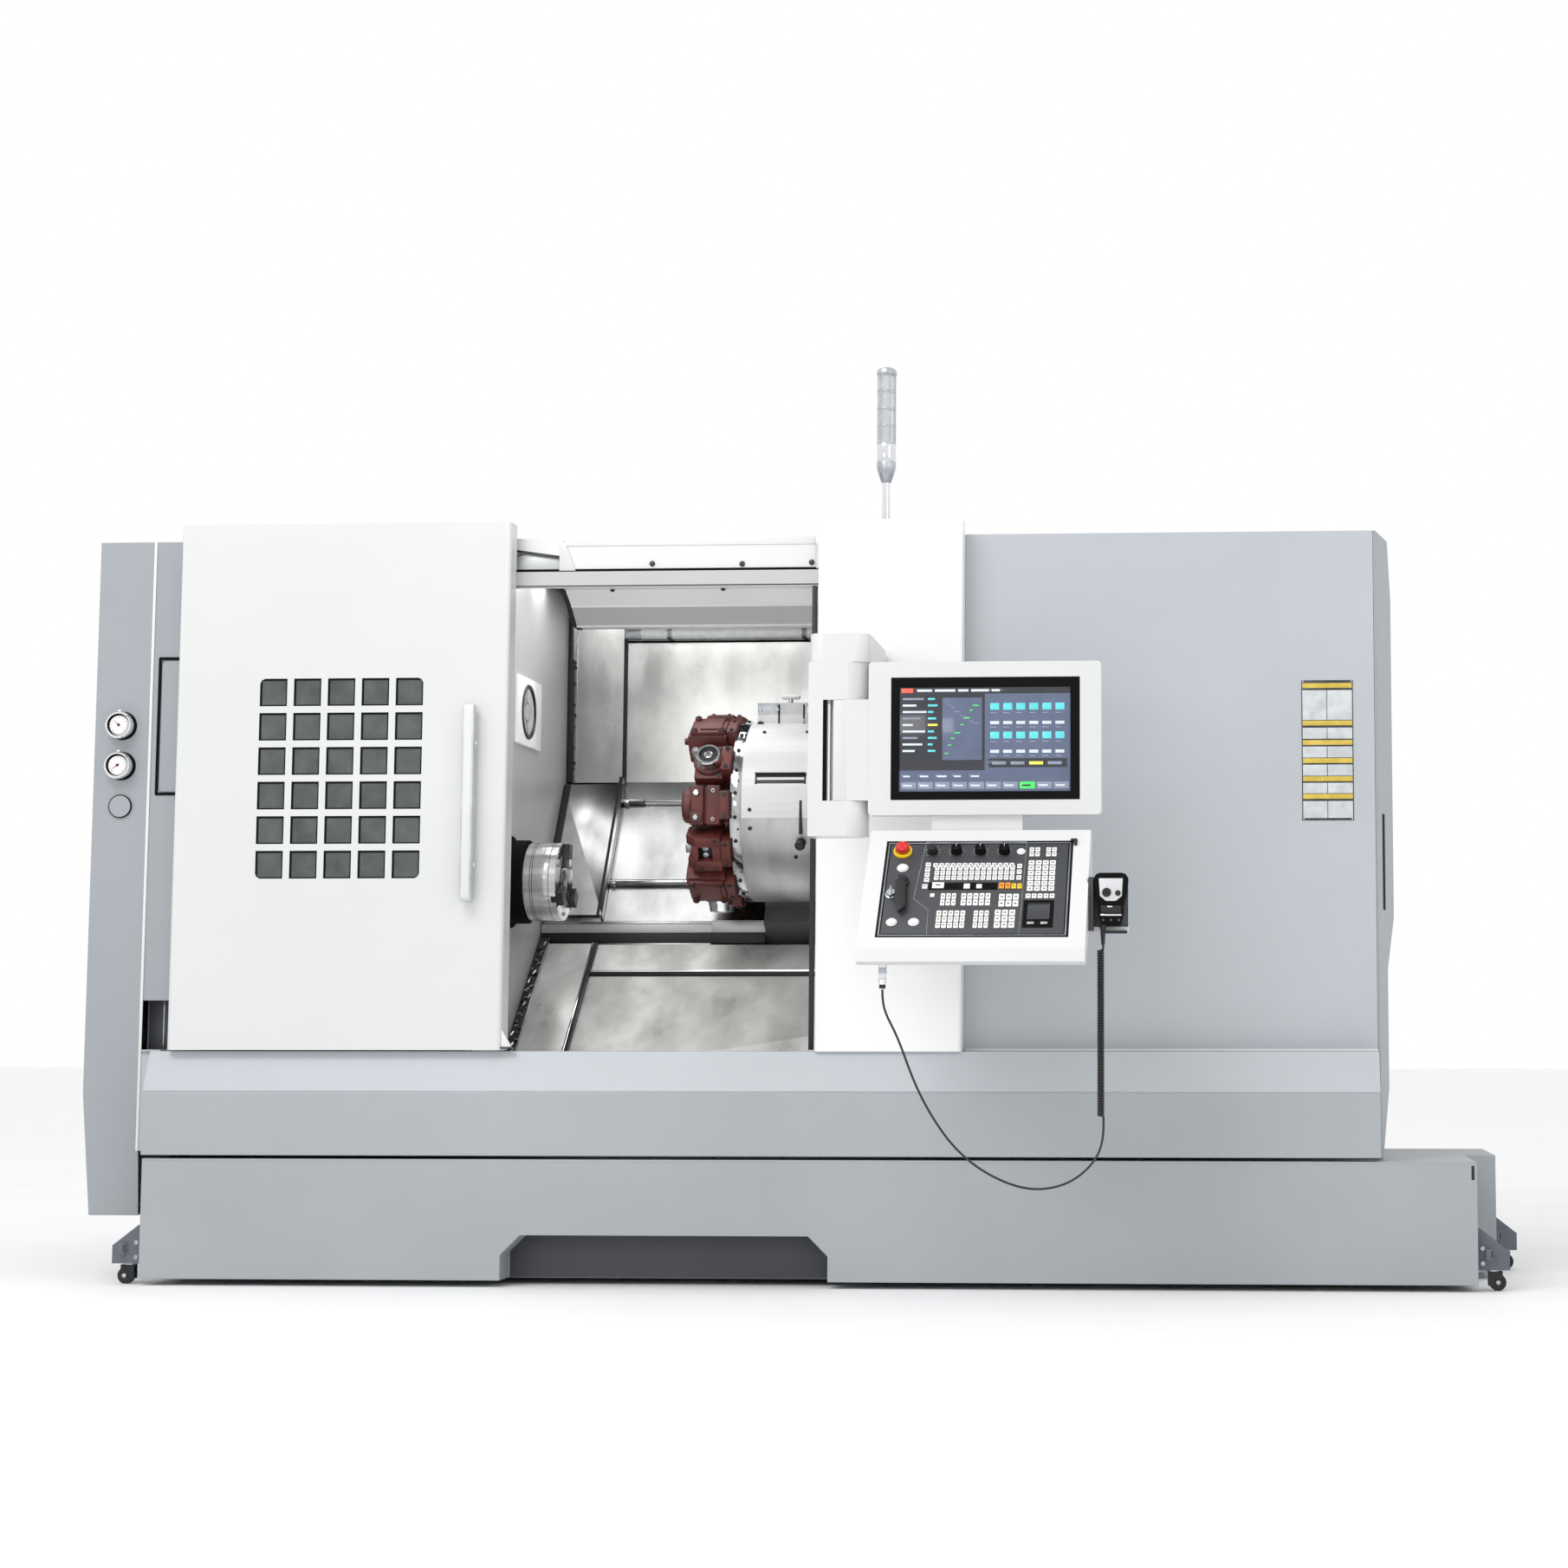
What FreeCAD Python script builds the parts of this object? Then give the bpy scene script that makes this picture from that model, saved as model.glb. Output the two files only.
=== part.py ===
import FreeCAD, Part
import math
import os
import Sketcher

# A slant-bed turning lathe in a sheet-metal enclosure, as an assembly of separate pieces.
# Millimetres. +X runs along the machine to the operator's right, -Y faces the operator, +Z is up.
# Sizes are entered from the front face of the coolant tank and shifted at the end, so that the
# origin lies on the floor under the middle of the whole machine.

doc = FreeCAD.newDocument("turning_lathe")
sheet = doc.addObject("Spreadsheet::Sheet", "dim")
nodes = []


# ---------------------------------------------------------------- sizes and expressions
class Size:
    """A length or angle that knows its number and the sheet expression it comes from."""

    def __init__(self, value, text):
        self.value = float(value)
        self.text = text

    def __add__(self, other):
        other = as_size(other)
        return Size(self.value + other.value, f"({self.text} + {other.text})")

    def __radd__(self, other):
        return as_size(other) + self

    def __sub__(self, other):
        other = as_size(other)
        return Size(self.value - other.value, f"({self.text} - {other.text})")

    def __rsub__(self, other):
        return as_size(other) - self

    def __mul__(self, other):
        other = as_size(other)
        return Size(self.value * other.value, f"({self.text} * {other.text})")

    def __rmul__(self, other):
        return as_size(other) * self

    def __truediv__(self, other):
        other = as_size(other)
        return Size(self.value / other.value, f"({self.text} / {other.text})")


def as_size(number):
    if isinstance(number, Size):
        return number
    return Size(number, f"({float(number)})")


def cosine(angle):
    return Size(math.cos(math.radians(angle.value)), f"cos({angle.text})")


def sine(angle):
    return Size(math.sin(math.radians(angle.value)), f"sin({angle.text})")


def size(alias, value):
    """Enter one driving dimension in the sheet and hand back its Size."""
    size.row += 1
    sheet.set(f"A{size.row}", alias)
    sheet.set(f"B{size.row}", str(value))
    sheet.setAlias(f"B{size.row}", alias)
    return Size(value, f"dim.{alias}")


size.row = 0


def bind(thing, prop, amount):
    thing.setExpression(prop, as_size(amount).text)


# ---------------------------------------------------------------- driving dimensions
frame_x = size("frame_x", 19.5)
frame_y = size("frame_y", 840.15)
clearance = size("running_gap", 0.3)
sheet_wall = size("sheet_wall", 4)

# coolant tank
tank_left = size("tank_left", -1980)
tank_len = size("tank_len", 4052)
tank_lift = size("tank_lift", 20)
tank_high = size("tank_high", 363)
tank_deep = size("tank_deep", 900)
tank_step_out = size("tank_step_out", 95)
tank_step_from = size("tank_step_from", 450)
tank_wall = size("tank_wall", 5)
toe_from_left = size("toe_from_left", 1114)
toe_len = size("toe_len", 996)
toe_high = size("toe_high", 136)
toe_flare = size("toe_flare", 60)
toe_deep = size("toe_deep", 110)
chip_hole_len = size("chip_hole_len", 1600)
chip_hole_wide = size("chip_hole_wide", 360)

# casters
wheel_r = size("wheel_r", 25)
wheel_wide = size("wheel_wide", 20)
axle_r = size("axle_r", 5)
fork_wall = size("fork_wall", 4)
fork_gap = size("fork_gap", 1)
cheek_long = size("cheek_long", 42)
wheel_trail = size("wheel_trail", 14)
swivel_r = size("swivel_r", 16)
swivel_plate = size("swivel_plate", 5)
bracket_wide = size("bracket_wide", 96)
bracket_deep = size("bracket_deep", 70)
bracket_high = size("bracket_high", 118)
bracket_wall = size("bracket_wall", 8)
caster_inset = size("caster_inset", 70)

# enclosure
machine_left = size("machine_left", -2224)
seam_x = size("seam_x", -2048)
body_right = size("body_right", 1790)
body_top = size("body_top", 2310)
front_y = size("front_y", 130)
rear_y = size("rear_y", 2150)
cover_gap = size("cover_gap", 10)
fold_high = size("fold_high", 189)
lip_high = size("lip_high", 126)
lip_back = size("lip_back", 55)
end_cover_low = size("end_cover_low", 200)
end_fold_z = size("end_fold_z", 577)
end_taper = size("end_taper", 18)
end_lean = size("end_lean", 32)
track_slot_top = size("track_slot_top", 864)
track_slot_deep = size("track_slot_deep", 60)
hatch_lip = size("hatch_lip", 15)
hatch_left = size("hatch_left", -2016)
hatch_wide = size("hatch_wide", 176)
hatch_low = size("hatch_low", 1514)
hatch_high = size("hatch_high", 419)
hatch_gap = size("hatch_gap", 3)
bulge_out = size("bulge_out", 67)
bulge_low = size("bulge_low", 1125)
bulge_high = size("bulge_high", 1001)
bulge_foot_out = size("bulge_foot_out", 40)
bulge_back = size("bulge_back", 270)
grip_slot_high = size("grip_slot_high", 300)
grip_slot_wide = size("grip_slot_wide", 60)
grip_slot_back = size("grip_slot_back", 60)
grip_slot_lift = size("grip_slot_lift", 14)
end_toe_out = size("end_toe_out", 15)
end_toe_high = size("end_toe_high", 200)
end_front_out = size("end_front_out", 7)
end_top_in = size("end_top_in", 12)
bulge_slope = size("bulge_slope", 165)
cover_return = size("cover_return", 60)
backing_lap = size("backing_lap", 20)

# door
door_left = size("door_left", -1922)
door_wide = size("door_wide", 1042)
door_low = size("door_low", 712)
door_over = size("door_over", 34)
door_high = body_top + door_over - door_low
door_y = size("door_y", 20)
door_thick = size("door_thick", 88)
hanger_inset = size("hanger_inset", 5)
window_cell = size("window_cell", 86)
window_bar = size("window_bar", 21)
window_from_left = size("window_from_left", 262)
window_from_low = size("window_from_low", 525)
window_glass = size("window_glass", 8)
window_frame = size("window_frame", 26)
glass_edge = size("glass_edge", 22)
handle_r = size("handle_r", 15)
handle_len = size("handle_len", 600)
handle_from_right = size("handle_from_right", 110)
handle_from_low = size("handle_from_low", 453)
handle_stand = size("handle_stand", 32)
stand_off_inset = size("stand_off_inset", 112)
stand_off_r = size("stand_off_r", 9)

# header and post
roof_flange = size("roof_flange", 44)
rail_drop = size("rail_drop", 160)
rail_low = body_top - rail_drop
header_left = size("header_left", -740)
soffit_drop = size("soffit_drop", 90)
soffit_run = size("soffit_run", 120)
soffit_step = size("soffit_step", 38)
rail_high = size("rail_high", 50)
lintel_high = size("lintel_high", 87)
header_deep = size("header_deep", 290)
post_left = size("post_left", 78)
post_wide = size("post_wide", 449)
post_y = size("post_y", 40)
post_deep = size("post_deep", 290)

# bed, slanted ways and inner guards
slant = size("slant", 56)
cover_low_y = size("cover_low_y", 1000)
cover_low_z = size("cover_low_z", 1138)
cover_len = size("cover_len", 606)
cover_raise = size("cover_raise", 36)
seam_inner_x = size("seam_inner_x", -790)
inner_left = size("inner_left", -1000)
inner_under = size("inner_under", 14)
inner_wall = size("inner_wall", 20)
inner_right = size("inner_right", 1250)
apron_front_y = size("apron_front_y", 420)
apron_low_z = size("apron_low_z", 600)
apron_step_y = size("apron_step_y", 825)
apron_step_z = size("apron_step_z", 948)
apron_top_y = size("apron_top_y", 955)
apron_top_z = size("apron_top_z", 1058)
apron_sheet = size("apron_sheet", 5)
apron_step_deep = size("apron_step_deep", 20)
chute_wide = size("chute_wide", 160)
bed_drop = size("bed_drop", 130)
bed_left = size("bed_left", -1950)
bed_right = size("bed_right", 1700)
bed_front_y = size("bed_front_y", 960)
bed_back_y = size("bed_back_y", 2100)
bed_low = size("bed_low", 60)
bed_shoulder_y = size("bed_shoulder_y", 1620)
bed_back_top = size("bed_back_top", 1150)
core_wide = size("core_wide", 420)
core_high = size("core_high", 420)
core_deep = size("core_deep", 760)
core_floor = size("core_floor", 170)
core_pitch = size("core_pitch", 590)
core_count = 6
foot_r = size("foot_r", 70)
foot_high = size("foot_high", 30)
foot_stem_r = size("foot_stem_r", 24)
foot_inset = size("foot_inset", 150)
way_wide = size("way_wide", 45)
way_high = size("way_high", 45)
way_low_u = size("way_low_u", 80)
way_high_u = size("way_high_u", 470)
way_left = size("way_left", -900)
way_right = size("way_right", 1560)
screw_r = size("screw_r", 20)
screw_u = size("screw_u", 300)
bearing_wide = size("bearing_wide", 50)
bearing_gap = size("bearing_gap", 10)

# headstock, spindle and chuck
spindle_y = size("spindle_y", 560)
spindle_z = size("spindle_z", 1251)
head_left = size("head_left", -1900)
head_r = size("head_r", 190)
head_low_u = size("head_low_u", -330)
head_high_u = size("head_high_u", 250)
head_space = size("head_space", 10)
shaft_r = size("shaft_r", 75)
shaft_tail = size("shaft_tail", 75)
bore_r = size("bore_r", 37.5)
motor_end = size("motor_end", 40)
nose_r = size("nose_r", 105)
nose_hole_r = size("nose_hole_r", 128)
ring_r = size("ring_r", 122)
nose_long = size("nose_long", 35)
ring_long = size("ring_long", 38)
chuck_r = size("chuck_r", 127)
chuck_long = size("chuck_long", 105)
chuck_hole_r = size("chuck_hole_r", 39)
jaw_slot_in = size("jaw_slot_in", 60)
jaw_wide = size("jaw_wide", 46)
jaw_high = size("jaw_high", 22)
jaw_step = size("jaw_step", 28)
jaw_in = size("jaw_in", 46)
jaw_out = size("jaw_out", 122)
jaw_key = size("jaw_key", 16)
motor_r = size("motor_r", 175)
motor_long = size("motor_long", 260)

# saddle, cross slide and turret
saddle_left = size("saddle_left", -420)
saddle_wide = size("saddle_wide", 440)
arm_left = size("arm_left", -225)
arm_wide = size("arm_wide", 285)
saddle_low_u = size("saddle_low_u", -50)
saddle_neck = size("saddle_neck", 42)
saddle_high_u = size("saddle_high_u", 560)
saddle_plate = size("saddle_plate", 48)
saddle_over = size("saddle_over", 12)
cross_low_u = size("cross_low_u", 20)
cross_len = size("cross_len", 420)
cross_thick = size("cross_thick", 50)
turret_y = size("turret_y", 800)
turret_z = size("turret_z", 1495)
disc_r = size("disc_r", 300)
disc_thick = size("disc_thick", 34)
disc_left = size("disc_left", -270)
drum_r = size("drum_r", 300)
turret_shaft_r = size("turret_shaft_r", 60)
turret_shaft_len = size("turret_shaft_len", 140)
block_high = size("block_high", 95)
block_wide = size("block_wide", 190)
block_inset = size("block_inset", 20)
block_sunk = size("block_sunk", 40)
sole_inset = size("sole_inset", 10)
rim_bolts = 24
rim_bolt_inset = size("rim_bolt_inset", 14)
rim_bolt_r = size("rim_bolt_r", 7)
rim_bolt_deep = size("rim_bolt_deep", 13)
hub_out = size("hub_out", 20)
hub_gap = size("hub_gap", 25)
holder_count = 12
holder_base = size("holder_base", 34)
holder_base_in = size("holder_base_in", 188)
holder_base_out = size("holder_base_out", 316)
holder_base_wide = size("holder_base_wide", 94)
holder_in = size("holder_in", 202)
holder_out = size("holder_out", 322)
holder_reach = size("holder_reach", 334)
holder_wide = size("holder_wide", 96)
holder_broad = size("holder_broad", 130)
holder_flare = size("holder_flare", 256)
holder_bore = size("holder_bore", 20)
clamp_long = size("clamp_long", 112)
slot_back = size("slot_back", 14)
slot_floor = size("slot_floor", 288)
slot_wide = size("slot_wide", 30)
lid_long = size("lid_long", 122)
stub_out = size("stub_out", 272)
stub_long = size("stub_long", 19)
stub_r = size("stub_r", 15)
driven_long = size("driven_long", 84)
driven_out = size("driven_out", 292)
flange_back = size("flange_back", 36)
flange_r = size("flange_r", 44)
bar_long = size("bar_long", 106)
bar_out = size("bar_out", 312)
bar_cheek_long = size("bar_cheek_long", 18)
bar_cheek_r = size("bar_cheek_r", 50)

# tailstock
tail_left = size("tail_left", 1010)
tail_wide = size("tail_wide", 215)
tail_r = size("tail_r", 105)
tail_web_high_u = size("tail_web_high_u", 40)
tail_web_low_v = size("tail_web_low_v", 90)
quill_r = size("quill_r", 38)
quill_out = size("quill_out", 60)
quill_in = size("quill_in", 190)
centre_len = size("centre_len", 70)

# light, gauges, tower, cabinet
light_len = size("light_len", 840)
light_r = size("light_r", 18)
light_drop = size("light_drop", 145)
light_z = body_top - light_drop
light_bracket = size("light_bracket", 40)
gauge_x = size("gauge_x", -2134)
gauge_low_z = size("gauge_low_z", 1471)
gauge_pitch = size("gauge_pitch", 127)
gauge_r = size("gauge_r", 40)
gauge_stand = size("gauge_stand", 30)
cap_r = size("cap_r", 34)
cap_stand = size("cap_stand", 6)
tower_x = size("tower_x", 242)
tower_y = size("tower_y", 420)
tower_foot_r = size("tower_foot_r", 33)
tower_foot_high = size("tower_foot_high", 22)
tower_pole_r = size("tower_pole_r", 13)
tower_pole_high = size("tower_pole_high", 200)
tower_cone_high = size("tower_cone_high", 34)
tower_r = size("tower_r", 31)
tower_base_high = size("tower_base_high", 90)
tower_lens_high = size("tower_lens_high", 230)
tower_cap_high = size("tower_cap_high", 22)
cabinet_left = size("cabinet_left", 200)
cabinet_wide = size("cabinet_wide", 1200)
cabinet_low = size("cabinet_low", 700)
cabinet_high = size("cabinet_high", 1400)
cabinet_deep = size("cabinet_deep", 250)
cabinet_door_thick = size("cabinet_door_thick", 20)
hinge_r = size("hinge_r", 8)
hinge_bite = size("hinge_bite", 20)

# operator pod
pod_pin_x = size("pod_pin_x", 232)
pod_pin_y = size("pod_pin_y", -340)
pin_r = size("pin_r", 20)
lug_r = size("lug_r", 58)
spine_left = size("spine_left", 117)
spine_wide = size("spine_wide", 43)
pod_low_lug = size("pod_low_lug", 1335)
lug_high = size("lug_high", 103)
knuckle_high = size("knuckle_high", 296)
arm_high = size("arm_high", 84)
arm_round = size("arm_round", 40)
screen_left = size("screen_left", 294)
screen_wide = size("screen_wide", 679)
screen_low = size("screen_low", 1395)
screen_high = size("screen_high", 448)
screen_y = size("screen_y", -400)
neck_sunk = size("neck_sunk", 15)
pin_sunk = size("pin_sunk", 10)
screen_thick = size("screen_thick", 70)
screen_back = size("screen_back", 60)
screen_back_inset = size("screen_back_inset", 60)
corner_r = size("corner_r", 12)
bezel_inset = size("bezel_inset", 66)
bezel_low_inset = size("bezel_low_inset", 46)
bezel_deep = size("bezel_deep", 5)
neck_left = size("neck_left", 479)
neck_wide = size("neck_wide", 265)
neck_thick = size("neck_thick", 60)
console_left = size("console_left", 305)
console_wide = size("console_wide", 638)
console_top = size("console_top", 1350)
console_fall = size("console_fall", 350)
console_run = size("console_run", 340)
console_lip = size("console_lip", 36)
console_lip_run = size("console_lip_run", 40)
console_lip_fall = size("console_lip_fall", 9)
console_back_low = size("console_back_low", 1150)
console_tilt = size("console_tilt", 45.83)
panel_left_inset = size("panel_left_inset", 50)
panel_wide = size("panel_wide", 540)
panel_low_u = size("panel_low_u", 44)
panel_long = size("panel_long", 398)
panel_thick = size("panel_thick", 3)
key_high = size("key_high", 3)
key_size = size("key_size", 15)
key_pitch = size("key_pitch", 18)
display_x = size("display_x", 459)
display_u = size("display_u", 82)
display_wide = size("display_wide", 86)
display_long = size("display_long", 110)
button_x = size("button_x", 92)
button_u = size("button_u", 104)
button_r = size("button_r", 12)
button_pitch = size("button_pitch", 60)
switch_u = size("switch_u", 267)
estop_x = size("estop_x", 100)
estop_u = size("estop_u", 396)
estop_r = size("estop_r", 20)
estop_high = size("estop_high", 16)
estop_base_r = size("estop_base_r", 27)
estop_base_high = size("estop_base_high", 8)
estop_travel = size("estop_travel", 4)
estop_stem_r = size("estop_stem_r", 8)
knob_r = size("knob_r", 14)
knob_high = size("knob_high", 16)
knob_x = size("knob_x", 186)
knob_pitch = size("knob_pitch", 69)
pendant_wide = size("pendant_wide", 98)
pendant_high = size("pendant_high", 161)
pendant_thick = size("pendant_thick", 42)
pendant_low = size("pendant_low", 1058)
pendant_left = size("pendant_left", 958)
holder_y = size("holder_y", -515)
holder_thick = size("holder_thick", 10)
holder_margin = size("holder_margin", 10)

# pendant cord
cord_d = size("cord_d", 6.5)
coil_r = size("coil_r", 10.5)
coil_x = size("coil_x", 977)
coil_y = size("coil_y", -537)
coil_top = size("coil_top", 1014)
coil_low = size("coil_low", 520)
coil_turns = 64
dial_high = size("dial_high", 2)
dial_r = size("dial_r", 14)
dial_share = 0.62
relief_r = size("relief_r", 7)
gland_r = size("gland_r", 9)
gland_len = size("gland_len", 70.4)


# ---------------------------------------------------------------- makers
ALONG = {
    "x": FreeCAD.Rotation(FreeCAD.Vector(0, 1, 0), 90),
    "y": FreeCAD.Rotation(FreeCAD.Vector(1, 0, 0), -90),
    "z": FreeCAD.Rotation(),
}


def put(thing, x, y, z, rotation=None, angle=None):
    """Place an object by its own origin, in the shifted frame of the machine."""
    thing.Placement = FreeCAD.Placement(FreeCAD.Vector(), rotation or FreeCAD.Rotation())
    if angle is not None:
        bind(thing, ".Placement.Rotation.Angle", angle)
    bind(thing, ".Placement.Base.x", as_size(x) - frame_x)
    bind(thing, ".Placement.Base.y", as_size(y) - frame_y)
    bind(thing, ".Placement.Base.z", as_size(z))
    return thing


def box(low, span):
    """A block from its low corner and its three sides."""
    block = doc.addObject("Part::Box", "block")
    for prop, amount in zip(("Length", "Width", "Height"), span):
        bind(block, prop, amount)
    return put(block, *low)


def rod(axis, start, radius, length):
    """A cylinder that grows from its start along +x, +y or +z."""
    bar = doc.addObject("Part::Cylinder", "rod")
    bind(bar, "Radius", radius)
    bind(bar, "Height", length)
    return put(bar, *start, rotation=ALONG[axis])


def cone(axis, start, first_r, last_r, length):
    tip = doc.addObject("Part::Cone", "cone")
    bind(tip, "Radius1", first_r)
    bind(tip, "Radius2", last_r)
    bind(tip, "Height", length)
    return put(tip, *start, rotation=ALONG[axis])


class Slope:
    """A plane through a line along X, leaning back by an angle: u runs up it, v stands off it."""

    def __init__(self, base_y, base_z, angle):
        self.base_y = base_y
        self.base_z = base_z
        self.angle = angle

    def point(self, u, v):
        u = as_size(u)
        v = as_size(v)
        y = self.base_y + u * cosine(self.angle) - v * sine(self.angle)
        z = self.base_z + u * sine(self.angle) + v * cosine(self.angle)
        return y, z

    def box(self, low, span):
        """A block whose low corner is at x, u, v and whose sides run along x, u and v."""
        x, u, v = low
        block = doc.addObject("Part::Box", "block")
        for prop, amount in zip(("Length", "Width", "Height"), span):
            bind(block, prop, amount)
        lean = FreeCAD.Rotation(FreeCAD.Vector(1, 0, 0), self.angle.value)
        return put(block, x, *self.point(u, v), rotation=lean, angle=self.angle)

    def rod(self, x, u, v, radius, length):
        """A cylinder that stands off the slope."""
        bar = doc.addObject("Part::Cylinder", "rod")
        bind(bar, "Radius", radius)
        bind(bar, "Height", length)
        lean = FreeCAD.Rotation(FreeCAD.Vector(1, 0, 0), self.angle.value)
        return put(bar, x, *self.point(u, v), rotation=lean, angle=self.angle)


def join(*pieces):
    whole = doc.addObject("Part::MultiFuse", "join")
    whole.Shapes = list(pieces)
    whole.Refine = True
    return whole


def cut(base, *tools):
    tool = tools[0] if len(tools) == 1 else join(*tools)
    result = doc.addObject("Part::Cut", "cut")
    result.Base = base
    result.Tool = tool
    result.Refine = True
    return result


def common(*pieces):
    result = doc.addObject("Part::MultiCommon", "common")
    result.Shapes = list(pieces)
    return result


def rounded(base, radius, direction):
    """Round the edges of a block that run along one direction."""
    doc.recompute()
    along = {"x": FreeCAD.Vector(1, 0, 0), "y": FreeCAD.Vector(0, 1, 0), "z": FreeCAD.Vector(0, 0, 1)}
    fillet = doc.addObject("Part::Fillet", "round")
    fillet.Base = base
    chosen = []
    for number, edge in enumerate(base.Shape.Edges, start=1):
        ends = edge.Vertexes[-1].Point - edge.Vertexes[0].Point
        if ends.Length > 0 and abs(abs(ends.normalize().dot(along[direction])) - 1) < 1e-6:
            chosen.append((number, radius.value, radius.value))
    fillet.Edges = chosen
    return fillet


# How far a cutting body runs past the metal on each side.
OVERCUT = 10
SKETCH_MARGIN = 3000


def profile(plane, corners, start, length):
    """A body padded from a closed outline drawn on its own plane.

    On YZ a corner is (y, z) and the pad runs along +X. On XZ a corner is (x, z) and the pad runs
    along +Y. On XY a corner is (x, y) and the pad runs along +Z. The sketch origin lies
    SKETCH_MARGIN below and before the outline, so every coordinate in it is positive.
    """
    body = doc.addObject("PartDesign::Body", "profile")
    sketch = body.newObject("Sketcher::SketchObject", "outline")
    planes = {face.Role: face for face in body.Origin.OriginFeatures}
    sketch.AttachmentSupport = [(planes[f"{plane}_Plane"], "")]
    sketch.MapMode = "FlatFace"
    shifted = []
    for first, second in corners:
        shifted.append((as_size(first) + SKETCH_MARGIN, as_size(second) + SKETCH_MARGIN))
    count = len(shifted)
    for index in range(count):
        here = shifted[index]
        there = shifted[(index + 1) % count]
        here_point = FreeCAD.Vector(here[0].value, here[1].value, 0)
        there_point = FreeCAD.Vector(there[0].value, there[1].value, 0)
        sketch.addGeometry(Part.LineSegment(here_point, there_point))
    for index in range(count):
        following = (index + 1) % count
        sketch.addConstraint(Sketcher.Constraint("Coincident", index, 2, following, 1))
    for index, corner in enumerate(shifted):
        for kind, amount in zip(("DistanceX", "DistanceY"), corner):
            number = sketch.addConstraint(Sketcher.Constraint(kind, -1, 1, index, 1, amount.value))
            sketch.setExpression(f"Constraints[{number}]", amount.text)
    pad = body.newObject("PartDesign::Pad", "pad")
    pad.Profile = sketch
    bind(pad, "Length", length)
    if plane == "XZ":
        pad.Reversed = True
        put(body, 0 - as_size(SKETCH_MARGIN), start, 0 - as_size(SKETCH_MARGIN))
    elif plane == "YZ":
        put(body, start, 0 - as_size(SKETCH_MARGIN), 0 - as_size(SKETCH_MARGIN))
    else:
        put(body, 0 - as_size(SKETCH_MARGIN), 0 - as_size(SKETCH_MARGIN), start)
    return body


def name(label, thing):
    """Mark an object as one sub-part of the machine."""
    thing.Label = label
    nodes.append(thing)
    return thing


ways = Slope(cover_low_y, cover_low_z, slant)
tank_top = tank_lift + tank_high
cover_low = tank_top + cover_gap
fold_z = cover_low + fold_high
ledge_z = fold_z + lip_high
post_high = body_top + door_over - ledge_z
inner_top = body_top - sheet_wall


# ---------------------------------------------------------------- coolant tank and casters
def coolant_tank():
    """A closed sheet tank with a toe recess in front and a chip opening in its top."""
    tank_right = tank_left + tank_len
    outer = join(
        box((tank_left, 0, tank_lift), (tank_len, tank_deep, tank_high)),
        box((tank_right, tank_step_from, tank_lift),
            (tank_step_out, tank_deep - tank_step_from, tank_high)),
    )
    inner_z = tank_lift + tank_wall
    inner_high = tank_high - tank_wall * 2
    inner_y = toe_deep + tank_wall
    inner_deep = tank_deep - tank_wall - inner_y
    inner = join(
        box((tank_left + tank_wall, inner_y, inner_z),
            (tank_len - tank_wall * 2, inner_deep, inner_high)),
        box((tank_right - tank_wall * 2, tank_step_from + tank_wall, inner_z),
            (tank_step_out + tank_wall, tank_deep - tank_step_from - tank_wall * 2, inner_high)),
    )
    toe_left = tank_left + toe_from_left
    toe_right = toe_left + toe_len
    toe_top = tank_lift + toe_high
    toe = profile("XZ", [
        (toe_left, 0),
        (toe_left, toe_top - toe_flare),
        (toe_left + toe_flare, toe_top),
        (toe_right - toe_flare, toe_top),
        (toe_right, toe_top - toe_flare),
        (toe_right, 0),
    ], -1, toe_deep + 1)
    chip_hole = box((seam_inner_x, (tank_deep - chip_hole_wide) / 2 + toe_deep / 2, tank_top - tank_wall * 2),
                    (chip_hole_len, chip_hole_wide, tank_wall * 3))
    name("coolant_tank", cut(outer, inner, toe, chip_hole))


def caster_places():
    """Swivel axis of each caster as (x, y, x of the tank end face it hangs on, side)."""
    tank_right = tank_left + tank_len
    near_y = caster_inset
    far_y = tank_deep - caster_inset
    reach = bracket_wide / 2
    return [
        (tank_left - reach, near_y, tank_left, -1),
        (tank_left - reach, far_y, tank_left, -1),
        (tank_right + reach, near_y, tank_right, 1),
        (tank_right + tank_step_out + reach, far_y, tank_right + tank_step_out, 1),
    ]


fork_top = wheel_r * 2 + 8
bracket_low = fork_top + swivel_plate


def caster_brackets():
    """Folded brackets on the tank ends, one over each caster, as one group of solids."""
    group = []
    for x, y, face_x, side in caster_places():
        left = face_x if side > 0 else face_x - bracket_wide
        shell = box((left, y - bracket_deep / 2, bracket_low), (bracket_wide, bracket_deep, bracket_high))
        space = box((left + bracket_wall * (1 if side > 0 else 0), y - bracket_deep / 2 + bracket_wall,
                     bracket_low + bracket_wall),
                    (bracket_wide - bracket_wall, bracket_deep - bracket_wall * 2, bracket_high))
        chamfer = profile("XZ", [
            (x + side * (bracket_wide / 2 + 2), bracket_low + bracket_high * 0.45),
            (x + side * (bracket_wide / 2 + 2), bracket_low + bracket_high + 2),
            (x - side * (bracket_wide / 2 - 12), bracket_low + bracket_high + 2),
        ], y - bracket_deep / 2 - 2, bracket_deep + 4)
        group.append(cut(shell, space, chamfer))
    name("caster_brackets", join(*group))


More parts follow.
